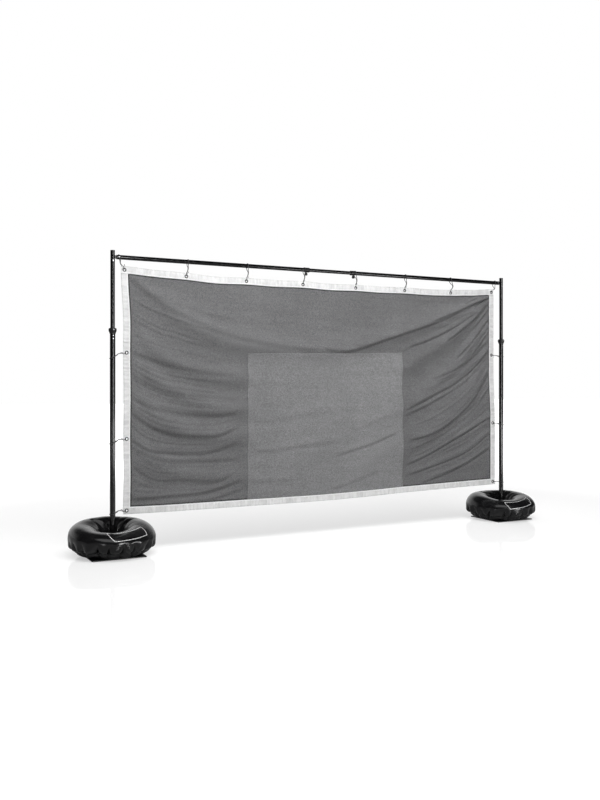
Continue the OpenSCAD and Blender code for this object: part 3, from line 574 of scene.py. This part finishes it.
def edge_wave(x, z):
    """How far the hems stand forward between their grommets."""
    top = sum(between(x, TOP_GROMMETS[k:k + 2], depth) for k, depth in enumerate(WAVE_TOP))
    side = sum(between(z, SIDE_STOPS[k:k + 2], depth) for k, depth in enumerate(WAVE_SIDE))
    low = WAVE_LOW * np.sin(np.pi * across_net(x) * 7) ** 2
    near_top, near_low = rise((z - (MESH_TOP - NEAR_HEM)) / NEAR_HEM), rise((MESH_BOTTOM + NEAR_HEM - z) / NEAR_HEM)
    near_side = rise((abs(x) - (MESH_HALF - NEAR_HEM)) / NEAR_HEM)
    return np.maximum(np.maximum(top * near_top, low * near_low), side * near_side)


# Size, radians per metre, start and lean of each wrinkle
PUCKERS = [(RNG.uniform(0.5, 1), RNG.uniform(85, 330), RNG.uniform(0, 6.28), RNG.uniform(-14, 14))
    for _ in range(16)]


def puckers(along, across, size):
    """Wrinkles across a hem, from its stitching."""
    total = sum(a * np.sin(k * along + s + lean * across) for a, k, s, lean in PUCKERS)
    drift = 0.55 + 0.45 * np.sin(5.3 * along + 1) * np.sin(2.1 * along)
    return size * total / 4 * drift


# How far the top and bottom hems lie above their level lines, in mm at each x in mm: the net is tied askew
TOP_LINE = [(-1700, 15), (-1620, 14), (-1400, 5), (-1200, -6), (-960, -15), (-720, -15), (-240, -15), (0, -17),
    (240, -17), (480, -15), (720, -15), (960, -13), (1200, -12), (1400, 3), (1620, 14), (1700, 15)]
BOTTOM_LINE = [(-1700, -12), (-1370, -18), (-900, -21), (-400, -24), (-140, -25), (130, -22), (420, -15),
    (710, -5), (1020, 2), (1340, 9), (1700, 16)]
RIGHT_LIFT = 20  # mm, midway up the right edge


def place(x, z):
    """Where a point of the flat cloth hangs: it sags between its grommets, and the net is tied askew."""
    x, z = np.asarray(x, float), np.asarray(z, float)
    up = np.clip((z - NET_BOTTOM) / (NET_TOP - NET_BOTTOM), 0, 1)
    sag = between(x, TOP_GROMMETS, 0.005) * rise((z - PANEL_TOP) / (MESH_TOP - PANEL_TOP))
    pull = between(z, SIDE_STOPS, 0.002) * rise((abs(x) - 1.25) / 0.374)
    low = 0.004 * np.sin(np.pi * across_net(x)) * rise((0.75 - z) / 0.4)
    corner = 0.016 * rise((-x - 1.2) / 0.45) * rise((z - 1.55) / 0.42)
    askew = 0.012 * rise((1.5 - abs(x)) / 0.6) * rise((1.94 - z) / 0.3)
    tilt = 0.011 * np.clip(x / PANEL_HALF, -1, 1) * rise((z - 0.8) / 0.5) * rise((1.92 - z) / 0.4) \
        * rise((1.4 - abs(x)) / 0.6)
    lift = spline_at(TOP_LINE, x * 1000)[0] * up + spline_at(BOTTOM_LINE, x * 1000)[0] * (1 - up)
    lift += RIGHT_LIFT * rise((x - 1.3) / 0.32) * rise((z - 0.36) / 0.34) * rise((1.9 - z) / 0.38)
    shift = 0.0065 + 0.0065 * rise((x + 1.6) / 0.8) + 0.016 * rise(x / 1.6) * rise((z - 0.85) / 0.4)
    return x - np.sign(x) * pull - corner - askew - shift, z - sag + low + tilt + lift / 1000


def cloth_out(x, z):
    """How far the cloth stands in front of its plane."""
    return main_folds(x, z) + creases(x, z) + ripples(x, z) + edge_wave(x, z)


def on_cloth(x, z, lift):
    """Points of the hung cloth that stand lift in front of the mesh's middle."""
    hung_x, hung_z = place(x, z)
    return np.stack([hung_x, NET_Y - cloth_out(x, z) - lift, hung_z], -1)


def cloth_piece(name, columns, levels, lift, thickness, material, slot):
    x, z = np.meshgrid(columns, levels)
    piece = mesh_piece(name, on_cloth(x, z, lift(x, z)).reshape(-1, 3), grid_faces(*x.shape), material, slot)
    flat_map(piece, np.stack([x, z], -1))
    solid = piece.modifiers.new("thickness", "SOLIDIFY")
    solid.thickness, solid.offset = thickness, 0
    return piece


# The cloth's grid, on which the panel's edges fall
PITCH_X, PITCH_Z = PANEL_HALF / 84, (PANEL_TOP - MESH_BOTTOM) / 220
net_columns = np.arange(-200, 201) * PITCH_X
net_columns = net_columns[abs(net_columns) < MESH_HALF + 0.012]
net_levels = MESH_BOTTOM + np.arange(-2, 330) * PITCH_Z
net_levels = net_levels[net_levels < MESH_TOP + 0.013]
net = cloth_piece("net_cloth", net_columns, net_levels, lambda x, z: 0, MESH_T, M["mesh"], "mesh_black")
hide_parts("net_mesh")

panel_columns = net_columns[abs(net_columns) < PANEL_HALF + 0.001]
panel_levels = net_levels[(net_levels > MESH_BOTTOM - 0.001) & (net_levels < PANEL_TOP + 0.001)]
panel_levels[0] += 0.0006  # clear of the bottom hem


def panel_lift(x, z):
    """How far the panel stands in front of the mesh, a little more where its edge is folded over."""
    fold = np.maximum(rise((abs(x) - PANEL_HALF + 0.022) / 0.008), rise((z - PANEL_TOP + 0.022) / 0.008))
    return MESH_T / 2 + PANEL_T / 2 + 0.0005 + 0.0007 * fold


panel = cloth_piece("panel_cloth", panel_columns, panel_levels, panel_lift, PANEL_T, M["panel"], "mesh_grey")
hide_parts("target_panel")

# ---- hems
# Places across a hem, from its outer edge
ACROSS = np.array([0, 0.4, 1.2, 2.4, 3.4, 4.2, 5, 6.2, 8.5, 10.5, *np.arange(12.5, 38, 2.5), 39.5, 40.6, 41.4,
    42.4, 43.8, 45, 45.8, 46.6, 47.6, 48.8, 49.6, 50]) / 1000
HEM_ROWS, HEM_ROUND = (0.0042, 0.0458), 0.0016  # its sewn rows, and the rounding of its edges
HOLE_W, HOLE_CUT = HEM_W / 2, 0.0093  # the middle of a grommet's hole from the hem's edge, the hole in the cloth
LEVEL = ("top", "bottom")
HEM_HOLES = {"top": TOP_GROMMETS, "bottom": [-CORNER_X, CORNER_X],
    "left": SIDE_GROMMETS[:2], "right": SIDE_GROMMETS[:2]}


def hem_half(w):
    """Half the hem's thickness at w from its outer edge: rounded edges, two sewn rows, full between."""
    edge = np.minimum(w, HEM_W - w)
    body = HEM_T / 2 * np.sqrt(np.clip(1 - (1 - np.clip(edge / HEM_ROUND, 0, 1)) ** 2, 0, 1))
    rows = sum(bell(w - row, 0.001) for row in HEM_ROWS)
    swell = 0.00035 * np.sin(np.pi * np.clip((w - HEM_ROWS[0]) / (HEM_ROWS[1] - HEM_ROWS[0]), 0, 1)) ** 0.7
    cord = 0.0006 * rise((w - STRIPE_AT + 0.0006) / 0.001) * rise(edge / HEM_ROUND)
    return body * (1 - 0.28 * rows) + swell + cord


def hem_point(kind, s, w, out):
    """A point of a hem, s along it and w from its outer edge, standing out by out from its middle plane."""
    if kind in LEVEL:
        x, z = s, (NET_TOP - w if kind == "top" else NET_BOTTOM + w)
        start, size, ends = (0.7 if kind == "top" else 2.3), 0.0032, rise((NET_HALF - abs(s)) / 0.02)
    else:
        side = -1 if kind == "left" else 1
        x, z = side * (NET_HALF - w), s
        start, size, ends = 5.1 + side, 0.0028, rise((s - MESH_BOTTOM) / 0.03) * rise((MESH_TOP - s) / 0.03)
    # the mesh behind the inner edge mustn't show through a wrinkle
    wrinkle = np.maximum(puckers(s + start, w, size), -0.004 + 0.0034 * rise((w - 0.024) / 0.01))
    from_hole = np.min([np.hypot(s - c, w - HOLE_W) for c in HEM_HOLES[kind]], axis=0)
    wrinkle = wrinkle * ends * rise((from_hole - 0.012) / 0.014) * np.clip(abs(out) / (HEM_T / 2), 0, 1)
    hung_x, hung_z = place(x, z)
    y = NET_Y - edge_wave(x, z) - out + wrinkle * np.where(out > 0, -0.8, 0.5)
    return np.stack([hung_x, y, hung_z], -1)


def hem_stations(low, high, holes):
    """Places along a hem, closer together beside its grommets."""
    step, fine, beside = 0.006, 0.0026, 7
    near = [c + np.arange(-beside, beside + 1) * fine for c in holes]
    plain = np.linspace(low, high, int((high - low) / step))
    clear = np.min([abs(plain - c) for c in holes], axis=0) > (beside + 0.6) * fine
    return np.unique(np.clip(np.concatenate([plain[clear], *near]), low, high))


def hem_piece(kind):
    level = kind in LEVEL
    low, high = (-NET_HALF, NET_HALF) if level else (MESH_BOTTOM + 0.0004, MESH_TOP - 0.0004)
    stations = hem_stations(low, high, HEM_HOLES[kind])
    w = np.concatenate([ACROSS, ACROSS[-2:0:-1]])
    count, flip = len(w), kind in ("bottom", "left")
    face = np.where(np.arange(count) < len(ACROSS), 1, -1)
    s, ww = np.meshgrid(stations, w, indexing="ij")
    ends = np.sqrt(np.clip((NET_HALF - abs(s)) / 0.0015, 0.15, 1)) if level else 1
    points = hem_point(kind, s, ww, face * hem_half(ww) * ends)
    middle_s, middle_w = (stations[1:] + stations[:-1]) / 2, (w + np.roll(w, -1)) / 2
    cut = np.min([np.hypot(middle_s[:, None] - c, middle_w - HOLE_W) for c in HEM_HOLES[kind]], axis=0) < HOLE_CUT
    grid = grid_faces(len(stations), count, False, True, flip=flip)
    faces = [list(f) for f in grid[~cut.ravel()]]
    # the cut edge of each hole, from the front to the back
    front = len(ACROSS) - 1
    for i, k in np.argwhere(cut[:, :front]):
        for di, dk, a, b in ((-1, 0, (i, k + 1), (i, k)), (1, 0, (i + 1, k), (i + 1, k + 1)),
                (0, -1, (i, k), (i + 1, k)), (0, 1, (i + 1, k + 1), (i, k + 1))):
            if not cut[i + di, k + dk]:
                wall = [i_ * count + k_ for i_, k_ in (a, b)]
                wall += [i_ * count + (count - k_) % count for i_, k_ in (b, a)]
                faces.append(wall[::-1] if flip else wall)
    caps = [list(range(count)), list(range((len(stations) - 1) * count, len(stations) * count))]
    faces += [caps[0][::-1] if flip else caps[0], caps[1] if flip else caps[1][::-1]]
    piece = mesh_piece(f"hem_webbing_{kind}", points.reshape(-1, 3), faces, M["hem"], "hem_white")
    flat_map(piece, np.stack([s + (0 if level else 2), ww], -1))
    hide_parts(f"hem_{kind}")
    return piece


hems = {kind: hem_piece(kind) for kind in ("top", "bottom", "left", "right")}

# ---- stitching
PITCH, AHEAD, STITCH, STITCH_R = 0.0088, 0.002, 0.0064, 0.0005
STITCH_FORM = [(-0.5, 0.25), (-0.34, 0.85), (0, 1), (0.34, 0.85), (0.5, 0.25)]  # place along it, fullness


def stitches(centres, ahead, out):
    """A small rounded stitch at each centre, towards the place ahead, as one mesh; out is 1 behind the cloth."""
    sides = 6
    along = unit(ahead - centres)
    side = unit(np.cross(along, [0, out, 0]))
    normal = np.cross(side, along)
    shapes = []
    for at, fat in STITCH_FORM:
        sink = 0.5 * STITCH_R * (1 - math.cos(math.pi * abs(at)))
        for k in range(sides):
            a = 2 * math.pi * k / sides
            shapes.append(centres + along * (at * STITCH) + side * (math.cos(a) * STITCH_R * fat)
                + normal * (math.sin(a) * STITCH_R * fat - sink))
    count = len(shapes)
    own = [list(f) for f in grid_faces(len(STITCH_FORM), sides, False, True)]
    own += [list(range(sides))[::-1], list(range(count - sides, count))]
    faces = [[i + n * count for i in f] for n in range(len(centres)) for f in own]
    return np.stack(shapes, 1).reshape(-1, 3), faces


def hem_stitches():
    rows = []
    for kind in hems:
        low, high = (-NET_HALF, NET_HALF) if kind in LEVEL else (MESH_BOTTOM, MESH_TOP)
        s = np.arange(low + 0.004, high - 0.004, PITCH)
        for w in HEM_ROWS:
            for front in (1, -1):
                out = front * (hem_half(w) + 0.0001)
                rows.append(stitches(*(hem_point(kind, s + d, w, out) for d in (0, AHEAD)), -front))
    return joined(rows)


def panel_stitches():
    rows = []
    for inset in (0.004, 0.0165):
        up = np.arange(MESH_BOTTOM + 0.006, PANEL_TOP - inset, PITCH)
        across = np.arange(-PANEL_HALF + inset, PANEL_HALF - inset, PITCH)
        for x, z, dx, dz in ((0 * up - PANEL_HALF + inset, up, 0, AHEAD), (0 * up + PANEL_HALF - inset, up, 0, AHEAD),
                (across, 0 * across + PANEL_TOP - inset, AHEAD, 0)):
            lift = panel_lift(x, z) + PANEL_T / 2 + 0.0002
            rows.append(stitches(on_cloth(x, z, lift), on_cloth(x + dx, z + dz, lift), -1))
    return joined(rows)


hem_thread = mesh_piece("hem_stitching", *hem_stitches(), M["thread_white"], "hem_white")
panel_thread = mesh_piece("panel_stitching", *panel_stitches(), M["thread_grey"], "mesh_grey")


# ---- grommets
def hung(x, z):
    """A point of a hem's middle plane as it hangs."""
    hx, hz = place(x, z)
    return np.array([hx, NET_Y - edge_wave(x, z), hz])


# Outline of a rolled eyelet: radius, and how far it stands beyond the hem's front or back face, in mm
FRONT_RIM = [(6, 0.3), (6.4, 1.3), (7.4, 1.9), (8.6, 1.8), (9.8, 1.2), (11.2, 0.8), (12, 0.35), (12.1, -0.05),
    (7.2, -0.1)]
BACK_RIM = [(7.1, -0.1), (12, 0), (11.9, 0.5), (10.2, 0.9), (8.6, 1.5), (7.2, 1.6), (6.3, 1.1), (5.95, 0.2)]
RIM_WIDE, RIM_SIDES = 1.15, 40


def grommet(x, z):
    face = HEM_T / 2 * 1000 + 0.3
    r, y = np.array([(r, -face - y) for r, y in FRONT_RIM] + [(r, face + y) for r, y in BACK_RIM]).T / 1000
    a = 2 * np.pi * np.arange(RIM_SIDES)[:, None] / RIM_SIDES
    rim = np.stack([r * RIM_WIDE * np.cos(a), y + 0 * a, r * RIM_WIDE * np.sin(a)], -1)
    return (hung(x, z) + rim).reshape(-1, 3), grid_faces(RIM_SIDES, len(r), True, True)


top_eyelets = mesh_piece("top_eyelets", *joined([grommet(x, GROMMET_Z) for x in TOP_GROMMETS]),
    M["grommet"], "grommet_metal")
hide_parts("top_grommets")
side_eyelets = mesh_piece("side_eyelets",
    *joined([grommet(s * CORNER_X, z) for s in (-1, 1) for z in SIDE_GROMMETS]),
    M["grommet"], "grommet_metal")
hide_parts("side_grommets")


# ---- ties
CORD_SEAT = 0.0042  # a loop lies this far from the middle of its grommet's hole
# Where along a tie, and how far from its middle as a share of the turn round the tube, each strand runs
STRANDS = [(0.14, 0.62), (0.27, 0.3), (0.5, 0.17), (0.8, 0.15)]


def tie(start, eyelet, tube_r, along, swing):
    """A closed loop of elastic round a tube and through an eyelet, drawn together by a small hitch.
    start is on the tube's axis, eyelet the middle of the hole, in whose near edge the loop lies."""
    start = np.array(start)
    down = unit(eyelet - start)
    out = unit(np.array([0, 1, 0]) - down[1] * down)
    across = np.cross(down, out)
    slant = math.sqrt(1 - float(down @ along) ** 2)
    wrap, bend = tube_r / slant + CORD_R + 0.0003, 0.0062
    reach = np.linalg.norm(eyelet - start) - CORD_SEAT - bend
    hitch = reach - 0.0135

    def at(o, d, a=0):
        return start + out * o + down * d + across * a

    def strand(side, order):
        return [at(side * wrap * gap, wrap + (hitch - wrap) * t, swing * math.sin(math.pi * t))
            for t, gap in STRANDS[::order]]

    pts = [at(wrap * np.cos(a), wrap * np.sin(a)) for a in np.radians(np.linspace(12, -192, 15))]
    pts += [*strand(-1, 1), at(-0.0024, hitch), at(-0.0046, hitch + 0.006)]
    pts += [at(bend * np.cos(a), reach + bend * np.sin(a)) for a in np.radians(np.linspace(172, 8, 7))]
    pts += [at(0.0046, hitch + 0.006), at(0.0024, hitch), *strand(1, -1)]
    # the hitch: two turns round both strands, and a short tail
    turns = [at(0.0052 * np.cos(a), hitch - 0.0035 + 0.0036 * a / (2 * np.pi), 0.0046 * np.sin(a))
        for a in np.linspace(0, 4.3 * np.pi, 30)]
    turns += [turns[-1] + out * o + down * d + across * a
        for o, d, a in ((0, -0.004, 0.004), (-0.002, -0.011, 0.009), (-0.001, -0.02, 0.011))]
    return [tube_mesh(smooth_path(pts, 0.0022, closed=True), CORD_R * 1.2, 10),
        tube_mesh(smooth_path(turns, 0.0016), CORD_R * 0.95, 8, closed=False)]


# For each top tie: how far along the crossbar from its grommet it goes round, and how far it bows to the right
TOP_TIES = [(-0.052, -0.01), (0.008, 0.008), (0.002, 0.012), (0.006, 0.012), (-0.008, 0.015), (0, 0.016),
    (-0.015, 0.027), (0.02, 0.024)]
# How far below its grommet each side tie goes round the upright, and how far it bows up
SIDE_TIES = {"L": [(0.034, 0.011), (0.027, 0.011), (0.018, 0.011)],
    "R": [(0.012, 0.003), (0.017, 0.003), (0.012, 0.003)]}
parts = []
for x, (offset, bow) in zip(TOP_GROMMETS, TOP_TIES):
    parts += tie((x + offset, 0, BAR_Z), hung(x, GROMMET_Z), BAR_R, (1, 0, 0), bow)
top_cords = mesh_piece("top_tie_cords", *joined(parts), M["cord"], "tie_elastic")
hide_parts("top_ties")
side_cords = []
for side, sign in (("L", -1), ("R", 1)):
    parts = []
    for z, (drop, bow) in zip(SIDE_GROMMETS, SIDE_TIES[side]):
        eyelet = hung(sign * CORNER_X, z)
        parts += tie((sign * HALF_SPAN, 0, eyelet[2] - drop), eyelet, LOWER_R, (0, 0, 1), -sign * bow)
    side_cords.append(mesh_piece(f"side_tie_cords_{side}", *joined(parts), M["cord"], "tie_elastic"))
    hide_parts(f"side_ties_{side}")

# ---- weight rings
PLEAT_PITCH = 18
# Directions (degrees) of the pleats round the outside of a ring
PLEATS = [-149, -126, -110, -90.5, -74, -52, -36, -18.5, 1, 17.5, 35, 55, 71.5, 90, 108,
    126.5, 143.5, 161, 179.5, -164.5]
INNER_GATHERS = 17
VALVE_TURN, VALVE_SECTION = 90, 135
# A point of the fold at the hole's back left, from the upright, and the level direction square to it
FOLD_AT, FOLD_TO = (-0.115, 0.13), (0.592, 0.806)
# Seed, shift from the upright's axis, extra fullness at the left shoulder and at the back, places of the pleats
RINGS = {"L": (3, 0, 0.024, 0.012, 0), "R": (8, -0.01, 0.004, -0.004, 3)}


def lobe(angle, power=2):
    """1 at angle 0 (degrees), 0 on the far side."""
    return ((1 + cos_deg(angle)) / 2) ** power


def turned(angle):
    """The same angle between -180 and 180 degrees."""
    return (angle + 180) % 360 - 180


def arc(angle, radius):
    """The length of an angle (degrees) at a radius, whichever way round is shorter."""
    return abs(turned(angle)) * math.pi / 180 * radius


def pleats(turn, section, rng, spread):
    """Pinches of the skin round the outside, deepest at the weld, and the bulges between them."""
    centres = np.array(PLEATS) + rng.uniform(-1, 1, len(PLEATS)) * spread
    strength = rng.uniform(0.85, 1.25, len(PLEATS))
    lean = rng.uniform(-0.12, 0.12, len(PLEATS))
    pull = np.zeros_like(turn)
    band = bell(section + 34, 27) * rise((section + 84) / 34) * rise((16 - section) / 26)
    bulge = 0.003 * bell(section + 12, 26) + 0.0078 * bell(section + 24, 12)
    for centre, size, tilt in zip(centres, strength, lean):
        off = turned(turn - centre - tilt * (section + 20))
        pull += 0.017 * size * band * bell(arc(off, RING_R), 0.0075, 1.1)
        pull += 0.008 * size * band * bell(arc(off, RING_R), 0.028)
        for share, depth in ((0.3, size - 0.7), (0.62, 1.3 - size)):
            pull += 0.006 * band * depth * bell(arc(turn - centre - share * PLEAT_PITCH, RING_R), 0.006, 1.3)
        pull -= bulge * bell(off - PLEAT_PITCH / 2, 6)
    return pull


def hole_gathers(turn, section, rng):
    """Gathers that run from the hole up over its edge, strongest at the back right and the front left."""
    centres = np.arange(INNER_GATHERS) * 360 / INNER_GATHERS + rng.uniform(-7, 7, INNER_GATHERS)
    size = np.maximum(rng.uniform(0.2, 1, INNER_GATHERS) ** 1.3,
        1.15 * lobe(centres - 50, 6) + 0.9 * lobe(centres - 205, 40)) * (1 - lobe(centres - 125, 8))
    pull = 0.0012 * bell(turned(section - 188), 2.2)
    for centre, k in zip(centres, size):
        reach = bell(turned(section - 146 - 14 * k), 30 + 20 * k)
        pull += 0.0095 * k * reach * bell(arc(turn - centre - 0.14 * (section - 150), 0.095), 0.0055, 1.3)
    return pull


def ring_surface(turn, section, side):
    """Points of a filled ring for angles (degrees) round it and round its section: 0 is outward, 90 is up."""
    seed, shift, shoulder, crest, spread = RINGS[side]
    rng = np.random.default_rng(seed)
    section = turned(section)
    pull = pleats(turn, section, rng, spread) + hole_gathers(turn, section, rng)
    # the weld round the outside, below its widest line, sits in a shallow groove
    weld = section + 42 + 1.5 * sin_deg(turn * 7 + seed * 40)
    pull += 0.007 * bell(weld, 7) + 0.003 * bell(weld, 1.6)
    pull -= 0.0016 * sin_deg(3 * turn + 40 * seed) * sin_deg(section) \
        + 0.0009 * sin_deg(7 * turn - 2 * section + seed) - 0.0015
    # the water stands higher at the left and the back
    pull -= shoulder * bell(section - 50, 34) * lobe(turn - 188, 3) \
        + crest * bell(section - 80, 50) * lobe(turn - 75, 2)
    # the skin is plain under the valve's flange
    near = np.hypot(0.109 * np.radians(turned(turn - VALVE_TURN)), RING_TUBE * np.radians(section - VALVE_SECTION))
    pull *= 1 - bell(near, 0.032, 4)
    # the fold at the hole's back left: the skin drops behind it, and comes back before the valve
    plan_r = RING_R - RING_TUBE + RING_TUBE * cos_deg(section)
    east, north = plan_r * cos_deg(turn), plan_r * sin_deg(turn)
    beside = FOLD_TO[0] * (east - FOLD_AT[0]) + FOLD_TO[1] * (north - FOLD_AT[1])
    upper = rise((section - 84) / 16) * rise((186 - section) / 34) * (abs(turned(turn - 130)) < 60)
    drop = 0.03 * upper * rise(beside / 0.011) * (1 - rise((beside - 0.014) / 0.03))
    radius = RING_TUBE - pull
    flat = 1 - 0.08 * rise((-section - 46) / 30) * rise((section + 150) / 40)
    r = RING_R - RING_TUBE + radius * flat * cos_deg(section)
    rising = sin_deg(section)
    kept = np.where(rising > 0, 1 - RING_SAG / RING_TUBE * lobe(turn - LOW_TURN), 1)
    z = np.maximum(RING_Z + radius * rising * kept - drop, RING_FLOOR)
    centre = (HALF_SPAN if side == "R" else -HALF_SPAN) + shift
    return np.stack([centre + r * cos_deg(turn), r * sin_deg(turn), z], -1)


def ring_piece(side):
    around, across = 720, 136
    turn, section = np.mgrid[:around, :across] * 360 / np.reshape([around, across], (2, 1, 1))
    piece = mesh_piece(f"filled_ring_{side}", ring_surface(turn, section, side).reshape(-1, 3),
        grid_faces(around, across, True, True), M["vinyl"], "ring_vinyl")
    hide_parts(f"weight_ring_{side}")
    return piece


# A plain printed frame where the real ring has a label: its corners as (turn, section)
LABELS = {"L": [(-115.8, 77.6), (-101.9, 21.6), (-51, 29.6), (-43.1, 77.2)],
    "R": [(-122.7, 52.4), (-113.9, 3.6), (-66, 25.6), (-54.8, 71.2)]}


def label_piece(side):
    corners = np.array(LABELS[side])
    half, lift, step = 0.0022, 0.0005, 0.4
    path = [a + (b - a) * np.linspace(0, 1, 40)[:-1, None] for a, b in zip(corners, np.roll(corners, -1, 0))]
    turn, section = np.concatenate(path).T
    middle = ring_surface(turn, section, side)
    east = ring_surface(turn + step, section, side) - ring_surface(turn - step, section, side)
    north = ring_surface(turn, section + step, side) - ring_surface(turn, section - step, side)
    normal = unit(np.cross(east, north))
    across = np.cross(normal, unit(np.roll(middle, -1, 0) - np.roll(middle, 1, 0)))
    strips = [middle + across * w * half + normal * up * lift
        for w, up in ((-1, -0.4), (-0.92, 0.7), (0, 1), (0.92, 0.7), (1, -0.4), (0, -0.8))]
    return mesh_piece(f"label_frame_{side}", np.stack(strips, 1).reshape(-1, 3),
        grid_faces(len(turn), 6, True, True, flip=True), M["print"], "hem_white")


for side in "LR":
    ring = ring_piece(side)
    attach(ring, "base")
    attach(label_piece(side), "base")

# ---- riding
# The cloth, hems, stitching, side eyelets and side ties have their placing baked into their points; the top ties and
# top eyelets go with the crossbar
for piece in (net, panel, *hems.values(), hem_thread, panel_thread, side_eyelets, *side_cords):
    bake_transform(piece)
for piece in (top_cords, top_eyelets):
    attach(piece, "top")

# ---- floor, light and camera
scene = bpy.context.scene
REFLECTING, FADE_FRONT, FADE_END = 0.15, 0.25, 3.3  # share mirrored near the net, and where that fades out
PLAIN, ROOM, BACKDROP = 0.26, 0.02, 1  # light from all round; what reflections show of the room and backdrop


def floor_material():
    """A pale floor, a weak mirror near the object, that looks whiter than it lights the object."""
    p = Paint("floor_pale", Specular_IOR_Level=0)
    rays = p.node("ShaderNodeLightPath").outputs
    place = p.node("ShaderNodeNewGeometry").outputs["Position"]
    seen = p.maths("MAXIMUM", rays["Is Camera Ray"], rays["Is Transmission Ray"])
    mirrored = p.maths("MAXIMUM", seen, rays["Is Glossy Ray"])
    pale = p.tinted((0.68, 0.68, 0.68), p.varied(0.985, 1, 3, 4))
    p.done(p.mix(mirrored, pale, (0.6, 0.6, 0.6)), 0.7)
    far = p.node("ShaderNodeVectorMath", {0: place}, operation="LENGTH").outputs["Value"]
    lift = p.maths("ADD", 0.545, p.ranged(far, 3.2, 6, 0, 0.5, True))
    glow = p.node("ShaderNodeEmission", {"Color": (1, 1, 1), "Strength": p.product(seen, lift)})
    matt = p.node("ShaderNodeAddShader", {0: p.shader.outputs[0], 1: glow.outputs[0]})
    gloss = p.node("ShaderNodeBsdfGlossy", {"Color": (1, 1, 1), "Roughness": 0.02})
    share = p.ranged(p.product(p.split(place)[1], -1), FADE_FRONT, FADE_END, REFLECTING, 0, True)
    top = p.node("ShaderNodeMixShader", {0: share, 1: matt.outputs[0], 2: gloss.outputs[0]})
    p.set(p.tree.nodes["Material Output"], "Surface", top.outputs[0])
    return p.material


floor = mesh_piece("floor", [(-40, -40, 0), (40, -40, 0), (40, 40, 0), (-40, 40, 0)], [(0, 1, 2, 3)],
    floor_material(), smooth=False)


def studio_world():
    """White to the camera, a plain light all round; reflections show a dark room with a backdrop."""
    world = scene.world = bpy.data.worlds.new("studio")
    world.use_nodes = True
    w = Nodes(world.node_tree)
    rays = w.node("ShaderNodeLightPath").outputs
    clear = w.maths("MAXIMUM", rays["Is Camera Ray"], rays["Is Transmission Ray"])
    towards = w.split(w.node("ShaderNodeTexCoord").outputs["Generated"])
    behind = w.ranged(towards[1], 0.35, 0.75, 0, BACKDROP, True)
    below = w.ranged(towards[2], 0.4, 0.66, 1, 0, True)
    mirrored = w.product(rays["Is Glossy Ray"], w.maths("MULTIPLY_ADD", behind, below, ROOM))
    plain = w.maths("SUBTRACT", 1, rays["Is Glossy Ray"])
    level = w.maths("MAXIMUM", w.maths("MULTIPLY_ADD", plain, PLAIN, mirrored), clear)
    for socket, value in (("Color", (1, 1, 1)), ("Strength", level)):
        w.set(w.tree.nodes["Background"], socket, value)


studio_world()


def lamp(name, kind, towards, energy, **settings):
    data = bpy.data.lights.new(name, kind)
    data.energy = energy
    for key, value in settings.items():
        setattr(data, key, value)
    thing = bpy.data.objects.new(name, data)
    scene.collection.objects.link(thing)
    thing.rotation_euler = Vector(towards).to_track_quat("-Z", "Y").to_euler()
    return thing


lamp("sky_panel", "SUN", (0.3, 0.62, -1.15), 0.95, angle=math.radians(40))
# The back fill is low, so that it hardly lights the floor. The last three show only as reflections, and the
# other two never do, so that the front light stays plain.
for name, at, aim, width, height, watts, unlit in (
        ("key_panel", (-0.7, -2.5, 3.8), (-0.25, 0, 1.1), 3.4, 1.5, 102, "glossy"),
        ("back_fill", (0.8, 7, 1.7), (0, 0, 1.15), 4, 2, 120, "glossy"),
        ("strip_front", (0.4, -10, 2.2), (0.3, 0, 1.2), 1.3, 4.2, 620, "diffuse"),
        ("softbox_left", (-4.8, -4.2, 0.42), (-1.75, 0, 0.15), 1.2, 0.5, 24, "diffuse"),
        ("softbox_low", (2.4, -3.6, 0.36), (-0.6, 0, 0.15), 2.2, 0.6, 100, "diffuse")):
    panel_lamp = lamp(name, "AREA", Vector(aim) - Vector(at), watts, shape="RECTANGLE", size=width, size_y=height)
    panel_lamp.location = at
    panel_lamp.visible_camera = False
    setattr(panel_lamp, f"visible_{unlit}", False)

# The photo's height, focal length and shift of its middle, in its pixels
FRAME_H, FOCAL, MIDDLE = 800, 855.6, (-0.7, -18.47)
camera_data = bpy.data.cameras.new("camera")
camera = bpy.data.objects.new("camera", camera_data)
scene.collection.objects.link(camera)
camera.location = (-3.3591, -5.9252, 1.2135)
camera.rotation_euler = (math.pi / 2, 0, math.radians(-27.592))
camera_data.sensor_fit, camera_data.sensor_height = "VERTICAL", 36
camera_data.lens = FOCAL * camera_data.sensor_height / FRAME_H
camera_data.shift_x, camera_data.shift_y = (offset / FRAME_H for offset in MIDDLE)
scene.camera = camera
scene.view_settings.view_transform = "Standard"
